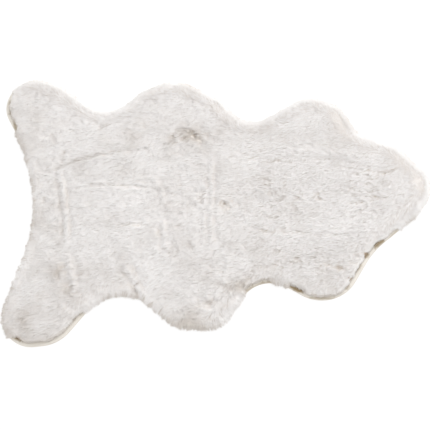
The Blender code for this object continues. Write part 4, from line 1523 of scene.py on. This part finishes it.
def pile_tree():
    """Strands rooted on a skin, gathered in tufts, each bent on a curve from its root to its tip."""
    graph, given = nodes_tree(
        "pile_on_skin",
        (
            ("Geometry", "Geometry"),
            ("Tufts", "Object"),
            ("Strand", "Object"),
            ("Spacing", "Float"),
            ("Width", "Float"),
            ("Scatter", "Float"),
            ("Ruffle", "Float"),
            ("Root Place", "Float"),
            ("Shortest", "Float"),
            ("Seed", "Int"),
            ("Material", "Material"),
        ),
    )
    spacing, seed = given["Spacing"], given["Seed"]
    roots = graph.add(
        "GeometryNodeDistributePointsOnFaces",
        {"distribute_method": "POISSON"},
        {
            "Mesh": given["Geometry"],
            "Distance Min": spacing,
            "Density Max": ROOT_TRIES / (spacing * spacing),
            "Density Factor": graph.stored("pile_cover"),
            "Seed": seed,
        },
        "Points",
    )
    place = graph.add("GeometryNodeInputPosition")
    tufts = graph.add("GeometryNodeObjectInfo", {}, {"Object": given["Tufts"]}, "Geometry")
    near = graph.add("GeometryNodeSampleNearest", {}, {"Geometry": tufts, "Sample Position": place})

    def of_tuft(kind, value):
        """The value that the nearest tuft brings."""
        inputs = {"Geometry": tufts, "Value": value, "Index": near}
        return graph.add("GeometryNodeSampleIndex", {"data_type": kind}, inputs)

    centre = of_tuft("FLOAT_VECTOR", place)
    drawn_to = of_tuft("FLOAT_VECTOR", graph.stored("tuft_tip", "FLOAT_VECTOR"))
    lift = of_tuft("FLOAT", graph.stored("tuft_tone"))
    short = graph.between(0.0, 1.0, seed + 1) ** 2
    length = LONGEST - (LONGEST - given["Shortest"]) * short
    free = place + graph.stored("pile_fall", "FLOAT_VECTOR").scaled(length)
    gathered = drawn_to + (place - centre).scaled(1 - TUFT_TIGHT)
    stray = graph.between(tuple(-most for most in STRAND_STRAY), STRAND_STRAY, seed + 2, "FLOAT_VECTOR")
    wave_inputs = {"Vector": place, "Scale": RUFFLE_WAVES, "Detail": 1.0}
    wave = graph.add("ShaderNodeTexNoise", {}, wave_inputs, "Color")
    tip = graph.blended("VECTOR", graph.stored("pile_pull"), free, gathered)
    tip = tip + stray.scaled(given["Scatter"])
    tip = tip + (wave - (0.5, 0.5, 0.5)).scaled(given["Ruffle"] * 2)
    knee = place + (tip - place) * (KNEE_SHARE, KNEE_SHARE, 0.0)
    arch = graph.stored("pile_arch") * graph.between(*STRAND_ARCH, seed + 5)
    knee = knee + graph.joined(0.0, 0.0, arch)
    tone = graph.stored("pile_tone") + lift + graph.between(-TONE_STRAY, TONE_STRAY, seed + 3)

    strands = roots
    for name, kind, value in (
        ("pile_root", "FLOAT_VECTOR", place),
        ("pile_knee", "FLOAT_VECTOR", knee),
        ("pile_tip", "FLOAT_VECTOR", tip),
        ("pile_girth", "FLOAT", given["Width"] * graph.between(*STRAND_GIRTH, seed + 4)),
        ("pile_shade", "FLOAT", tone),
    ):
        strands = graph.store(strands, name, kind, value)
    strand = graph.add("GeometryNodeObjectInfo", {}, {"Object": given["Strand"]}, "Geometry")
    strands = graph.add("GeometryNodeInstanceOnPoints", {}, {"Points": strands, "Instance": strand})
    strands = graph.add("GeometryNodeRealizeInstances", {}, {"Geometry": strands})

    across, over, up = graph.parts(graph.stored("strand_section", "FLOAT_VECTOR"))
    root, knee, tip = (graph.stored(n, "FLOAT_VECTOR") for n in ("pile_root", "pile_knee", "pile_tip"))
    down = 1 - up
    middle = root.scaled(down * down) + knee.scaled(down * up * 2) + tip.scaled(up * up)
    along = graph.vector("NORMALIZE", (knee - root).scaled(down) + (tip - knee).scaled(up))
    side = graph.vector("NORMALIZE", graph.vector("CROSS_PRODUCT", along, (0.0, 0.0, 1.0)))
    top = graph.vector("CROSS_PRODUCT", along, side)
    girth = graph.stored("pile_girth")
    point = middle + side.scaled(across * girth) + top.scaled(over * girth)
    point = graph.vector("MAXIMUM", point, (-1.0, -1.0, STRAND_FLOOR))
    strands = graph.add("GeometryNodeSetPosition", {}, {"Geometry": strands, "Position": point})

    shade = graph.add("ShaderNodeClamp", {}, {"Value": graph.stored("pile_shade")})
    u = MAP_START + shade * MAP_LENGTH + graph.stored("strand_side") * MAP_SIDE
    v = given["Root Place"] + up * (MAP_TOP - given["Root Place"])
    strands = graph.store(strands, MAP_NAME, "FLOAT2", graph.joined(u, v, 0.0), "CORNER")
    for pattern in ("pile_*", "strand_*"):
        inputs = {"Geometry": strands, "Name": pattern}
        strands = graph.add("GeometryNodeRemoveAttribute", {"pattern_mode": "WILDCARD"}, inputs)
    strands = graph.add("GeometryNodeSetShadeSmooth", {}, {"Geometry": strands, "Shade Smooth": False})
    strands = graph.add("GeometryNodeSetMaterial", {}, {"Geometry": strands, "Material": given["Material"]})
    return end_tree(graph, strands)


def tufts_object(name, rows):
    """Points at the middles of tufts, each row with its middle, the place of its tip and its tone."""
    points, tips, tones = zip(*rows)
    obj = new_object(name, points)
    give(obj.data, "tuft_tip", "FLOAT_VECTOR", tips)
    give(obj.data, "tuft_tone", "FLOAT", tones)
    return obj


def coat_tufts(pile):
    """Tufts that the coat gathers in."""
    chance = random.Random(SEED + 2)
    rows = []
    for centre in grid_points(pile.tuft_pitch, TUFT_JITTER * pile.tuft_pitch, TUFT_INSET, SEED + 3):
        height = underfur_height(centre, edge_near(centre)[0])
        fall, _, _ = fall_at(centre, height, pile.lay * chance.uniform(*TUFT_LAY))
        rough = roughness_at(centre)
        lean = turned(fall.xy, chance.gauss(0.0, mix(*TUFT_LEAN, rough)))
        rise = height + fall.z * chance.uniform(mix(*TUFT_LOW, rough), mix(*TUFT_TALL, rough))
        tip = (*(centre + lean), rise)
        rows.append(((*centre, height), tip, chance.uniform(-TONE_STRAY, TONE_STRAY)))
    return tufts_object("coat_tufts", rows)


def rim_tufts():
    """Tufts over the edge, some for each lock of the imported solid."""
    chance = random.Random(SEED)
    count = LOCK_TUFTS * round(EDGE.length / LOCK_PITCH)
    shares = []
    for i in range(count):
        start = i + chance.uniform(*LOCK_MARGIN)
        shares.append((start / count + (i + 1 - chance.uniform(*LOCK_MARGIN)) / count) / 2)
    rows = []
    for share in shares:
        place, normal = EDGE.at(share)
        bare = bareness(place) > SHORT_FROM
        flow = waved(FLOW_WAVE, place) + chance.uniform(-0.5, 0.5)
        lean = Vector((-normal.y, normal.x)) * LOCK_LEAN * flow * (0.5 if bare else 1.0)
        if bare:
            reach = -SHORT_TIP_INSET * chance.uniform(*SHORT_TIP_STRAY)
            height = SHORT_TIP_HIGH
        else:
            reach = tuft_reach(place) * chance.uniform(1 - LOCK_UNEVEN, 1 + LOCK_UNEVEN)
            height = chance.uniform(LOCK_TIP_LOW, LOCK_TIP_HIGH)
        tip = (*(place + normal * reach + lean), height)
        centre = place - normal * (RIM_INNER + UNDERFUR_FOOT) / 2
        # Painted shade: some tufts at those edges are painted darker.
        painted_shade = TUFT_PAINTED_SHADE * tuftedness(normal) if chance.random() < SHADED_TUFT_SHARE else 0.0
        rows.append(((*centre, CLOTH_HIGH), tip, chance.uniform(*RIM_TONE_STRAY) - painted_shade))
    return tufts_object("rim_tufts", rows)


def tape_section(share, dip):
    """The folded tape's section at a share of the way round, as insets and heights, from its inner foot."""
    wide = tape_width(share)
    fold = [
        (TAPE_BEND * (1 - math.cos(a)), TAPE_HIGH / 2 - (TAPE_HIGH / 2) * math.sin(a))
        for a in map(math.radians, FOLD_DEGREES)
    ]
    top = TAPE_HIGH + TAPE_PUFF
    return (
        (wide, 0.0002),
        (wide - 0.0006, 0.0),
        (TAPE_BEND + 0.0008, 0.0),
        *fold,
        (TAPE_BEND + 0.0010, TAPE_HIGH + 0.4 * TAPE_PUFF),
        (0.5 * wide, top),
        (wide - SEAM_INSET, TAPE_HIGH + 0.3 * TAPE_PUFF - dip),
        (wide - 0.0005, TAPE_HIGH + 0.2 * TAPE_PUFF - 0.3 * dip),
        (wide, TAPE_HIGH - 0.4 * TAPE_THICK),
        (wide - 0.0003, SLOT_HIGH),
        (TAPE_THICK, SLOT_HIGH),
        (TAPE_THICK, SLOT_LOW),
        (wide - 0.0003, SLOT_LOW),
    )


def tape_object(stitches):
    """The folded tape as a closed ring, with a dip at each stitch and a map in metres."""
    stations = 2 * stitches
    sections = [tape_section(i / stations, STITCH_DIP if i % 2 else 0.0) for i in range(stations)]
    size = len(sections[0])
    points = []
    for i, section in enumerate(sections):
        for inset, height in section:
            spot = EDGE.at(i / stations, inset)[0]
            points.append((spot.x, spot.y, height))
    faces = []
    for i in range(stations):
        following = (i + 1) % stations
        for k in range(size):
            beside = (k + 1) % size
            here, there = i * size, following * size
            faces.append((here + k, here + beside, there + beside, there + k))
    obj = new_object("binding_tape", points, faces)
    lengths = [0.0]
    for a, b in zip(sections[0], sections[0][1:] + sections[0][:1]):
        lengths.append(lengths[-1] + math.dist(a, b))
    layer = obj.data.uv_layers.new(name="tape", do_init=False)
    corner = 0
    step = EDGE.length / stations
    for i in range(stations):
        for k in range(size):
            for du, dv in ((0, 0), (0, 1), (1, 1), (1, 0)):
                layer.uv[corner].vector = ((i + du) * step, lengths[k + dv])
                corner += 1
    # Painted shade on the tape, for its material.
    give(obj.data, "browned", "FLOAT", [tape_painted_shade_at(Vector(point[:2]), point[2]) for point in points])
    obj.data.shade_smooth()
    return obj


def tape_painted_shade_at(point, height):
    """How much painted shade darkens the tape to brown: on top along its inner edge, at the fold, beside the
    bare spots and under the pile.
    """
    depth, edge_point, normal = edge_near(point)
    cloud = 0.5 + waved(TAPE_SHADE_WAVE, point)
    across = depth / TAPE_WIDTH
    inner = smooth_step(*TAPE_SHADE_ACROSS, across) * mix(*TAPE_SHADE_INNER, cloud)
    fold = TAPE_SHADE_FOLD * (1 - smooth_step(0.0, TAPE_SHADE_FOLD_WIDE, depth))
    upper = smooth_step(*TAPE_SHADE_UPPER, height / TAPE_HIGH)
    near = patchiness(point - normal * TAPE_SHADE_SPREAD) * mix(*TAPE_SHADE_SPOT, smooth_step(0.0, 0.5, across))
    covered = TAPE_SHADE_COVERED * (1 - bareness(edge_point))
    return max(inner, fold, near, covered) * upper


def stitch_tree():
    """Stitches laid end to end along a line."""
    graph, given = nodes_tree(
        "stitches_on_line",
        (
            ("Geometry", "Geometry"),
            ("Stitches", "Int"),
            ("Length", "Float"),
            ("Thread", "Float"),
            ("Material", "Material"),
        ),
    )
    line = graph.add("GeometryNodeMeshToCurve", {}, {"Mesh": given["Geometry"]})
    line = graph.add("GeometryNodeResampleCurve", {}, {"Curve": line, "Count": given["Stitches"]})
    way = graph.add("GeometryNodeInputTangent")
    turn = graph.add("FunctionNodeAlignRotationToVector", {"axis": "X"}, {"Vector": way})
    ball = graph.add("GeometryNodeMeshUVSphere", {}, {"Segments": 6, "Rings": 4, "Radius": 0.5}, "Mesh")
    size = graph.joined(given["Thread"], given["Thread"], given["Length"])
    ball = graph.add("GeometryNodeTransform", {}, {"Geometry": ball, "Scale": size})
    flat = {"Geometry": ball, "Rotation": (0.0, math.pi / 2, 0.0)}
    ball = graph.add("GeometryNodeTransform", {}, flat)
    placed = {"Points": line, "Instance": ball, "Rotation": turn}
    made = graph.add("GeometryNodeInstanceOnPoints", {}, placed)
    made = graph.add("GeometryNodeRealizeInstances", {}, {"Geometry": made})
    made = graph.add("GeometryNodeSetShadeSmooth", {}, {"Geometry": made})
    made = graph.add("GeometryNodeSetMaterial", {}, {"Geometry": made, "Material": given["Material"]})
    return end_tree(graph, made)


# The camera and the light.


def facing(data, target, away):
    """A camera or light that stands this far away from its target and faces it."""
    obj = bpy.data.objects.new(data.name, data)
    bpy.context.scene.collection.objects.link(obj)
    obj.location = target + away
    obj.rotation_mode = "QUATERNION"
    obj.rotation_quaternion = (-away).to_track_quat("-Z", "Y")
    return obj


def photo_camera():
    """The camera of the photograph."""
    data = bpy.data.cameras.new("camera")
    data.sensor_width = SENSOR
    data.lens = SENSOR * PHOTO_DISTANCE / PHOTO_WIDTH
    data.clip_start = CLIP_START
    data.clip_end = CLIP_END
    level = Vector((-math.sin(CAMERA_TURN), -math.cos(CAMERA_TURN))) * math.cos(CAMERA_RISE)
    away = Vector((*level, math.sin(CAMERA_RISE))) * PHOTO_DISTANCE * PHOTO_PIXEL
    return facing(data, LOOK_AT + SEAT, away)


# Operators, one for each piece or group of like pieces and one for the stage.


class FURRUG_OT_ground(bpy.types.Operator):
    """Makes the ground cloth with its dense underfur and knitted underside"""

    bl_idname = "furrug.ground"
    bl_label = "Ground Cloth"

    def execute(self, context):
        shell, first_upper = ground_shell()
        ground = new_object("ground_cloth", shell.points, shell.faces)
        ground.data.shade_smooth()
        ground.data.materials.append(backing_material())
        ground.data.materials.append(underfur_material(context.scene.furrug_pile))
        slots = [int(i >= first_upper) for i in range(len(shell.faces))]
        ground.data.polygons.foreach_set("material_index", slots)
        give(ground.data, "shade", "FLOAT", [shade_at(point.xy) for point in shell.points])
        seated(ground)
        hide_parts("fur_panel")
        return {"FINISHED"}


class FURRUG_OT_binding(bpy.types.Operator):
    """Makes the folded tape that binds the edge"""

    bl_idname = "furrug.binding"
    bl_label = "Binding"

    def execute(self, context):
        binding = context.scene.furrug_binding
        tape = tape_object(binding.stitches)
        tape.data.materials.append(tape_material(binding))
        seated(tape)
        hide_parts("binding")
        return {"FINISHED"}


class FURRUG_OT_seam(bpy.types.Operator):
    """Makes the seam that holds the binding"""

    bl_idname = "furrug.seam"
    bl_label = "Binding Seam"

    def execute(self, context):
        binding = context.scene.furrug_binding
        count = binding.stitches
        points = []
        for i in range(count):
            share = (i + 0.5) / count
            spot = EDGE.at(share, tape_width(share) - SEAM_INSET)[0]
            points.append((*spot, TAPE_HIGH + SEAM_RISE))
        seam = new_object("binding_seam", points)
        seam.data.edges.add(count)
        ends = [index for i in range(count) for index in (i, (i + 1) % count)]
        seam.data.edges.foreach_set("vertices", ends)
        settings = {
            "Stitches": count,
            "Length": binding.stitch_length,
            "Thread": binding.thread,
            "Material": thread_material(binding),
        }
        run_tree(seam, stitch_tree(), settings)
        seated(seam)
        return {"FINISHED"}


class FURRUG_OT_pile(bpy.types.Operator):
    """Makes the long pile: the lengths of the coat and the tufts over the edge"""

    bl_idname = "furrug.pile"
    bl_label = "Pile"

    def execute(self, context):
        pile = context.scene.furrug_pile
        shell, first_upper = ground_shell()
        faces = shell.faces[first_upper:]
        tree = pile_tree()
        strand, stout = strand_object(WIDEST_COAT), strand_object(WIDEST_RIM)
        coat, rim = coat_tufts(pile), rim_tufts()
        common = {"Ruffle": pile.ruffle, "Material": fur_material(pile)}
        of_coat = common | {
            "Tufts": coat,
            "Strand": strand,
            "Spacing": pile.spacing,
            "Width": pile.width,
            "Scatter": pile.scatter,
            "Root Place": ROOT_COAT,
            "Shortest": SHORTEST_COAT,
        }
        fields = as_fields(skin_row(point, pile.lay) for point in shell.points)
        ends = [start for _, start in COAT[1:]] + [COAT_END]
        for i, ((name, start), end) in enumerate(zip(COAT, ends)):
            kept = [f for f in faces if start <= sum(shell.points[v].x for v in f) / 3 < end]
            length = part_of(name, shell.points, kept, fields)
            run_tree(length, tree, of_coat | {"Seed": pile.seed + 10 * i})
            seated(length)
        of_rim = common | {
            "Tufts": rim,
            "Strand": stout,
            "Spacing": pile.rim_spacing,
            "Width": RIM_WIDTH * pile.width,
            "Scatter": RIM_SCATTER,
            "Root Place": ROOT_RIM,
            "Shortest": SHORTEST_RIM,
            "Seed": pile.seed + 70,
        }
        fields = as_fields(rim_row(point) for point in shell.points)
        depths = [edge_near(point)[0] for point in shell.points]
        kept = [f for f in faces if sum(depths[v] for v in f) / 3 < RIM_INNER]
        edge = part_of("pile_edge", shell.points, kept, fields)
        run_tree(edge, tree, of_rim)
        seated(edge)
        for helper in (strand, stout, coat, rim):
            bpy.data.objects.remove(helper)
        return {"FINISHED"}


class FURRUG_OT_stage(bpy.types.Operator):
    """Makes the camera, the white floor and the soft light"""

    bl_idname = "furrug.stage"
    bl_label = "Stage"

    def execute(self, context):
        stage = context.scene.furrug_stage
        scene = context.scene
        scene.camera = photo_camera()
        square = ((-1, -1), (1, -1), (1, 1), (-1, 1))
        corners = [(x * FLOOR_HALF, y * FLOOR_HALF, FLOOR_LOW) for x, y in square]
        floor = new_object("floor", corners, [(0, 1, 2, 3)])
        floor.data.materials.append(floor_material(stage))

        key_data = bpy.data.lights.new("key_light", "AREA")
        key_data.shape = "RECTANGLE"
        key_data.size, key_data.size_y = KEY_SIZE
        key_data.energy = stage.key
        facing(key_data, Vector((0.0, 0.0, 0.0)), KEY_PLACE)

        world = bpy.data.worlds.new("studio")
        world.use_nodes = True
        sky = world.node_tree.nodes["Background"]
        sky.inputs["Color"].default_value = WHITE
        sky.inputs["Strength"].default_value = stage.sky
        scene.world = world
        scene.view_settings.view_transform = "Standard"
        return {"FINISHED"}


OPERATORS = (FURRUG_OT_stage, FURRUG_OT_ground, FURRUG_OT_binding, FURRUG_OT_seam, FURRUG_OT_pile)


class FURRUG_PT_panel(bpy.types.Panel):
    """Lists the rug's sizes and the steps that make it"""

    bl_idname = "FURRUG_PT_panel"
    bl_label = "Fur Rug"
    bl_space_type = "VIEW_3D"
    bl_region_type = "UI"
    bl_category = "Fur Rug"

    def draw(self, context):
        scene = context.scene
        for settings in (scene.furrug_pile, scene.furrug_binding, scene.furrug_stage):
            box = self.layout.box()
            for name in type(settings).__annotations__:
                box.prop(settings, name)
        for operator in OPERATORS:
            self.layout.operator(operator.bl_idname)


CLASSES = (PileSettings, BindingSettings, StageSettings, *OPERATORS, FURRUG_PT_panel)


def register():
    for kind in CLASSES:
        bpy.utils.register_class(kind)
    bpy.types.Scene.furrug_pile = bpy.props.PointerProperty(type=PileSettings)
    bpy.types.Scene.furrug_binding = bpy.props.PointerProperty(type=BindingSettings)
    bpy.types.Scene.furrug_stage = bpy.props.PointerProperty(type=StageSettings)


def unregister():
    del bpy.types.Scene.furrug_stage
    del bpy.types.Scene.furrug_binding
    del bpy.types.Scene.furrug_pile
    for kind in reversed(CLASSES):
        bpy.utils.unregister_class(kind)


def main():
    register()
    bpy.ops.furrug.stage()
    bpy.ops.furrug.ground()
    bpy.ops.furrug.binding()
    bpy.ops.furrug.seam()
    bpy.ops.furrug.pile()


if __name__ == "__main__":
    main()
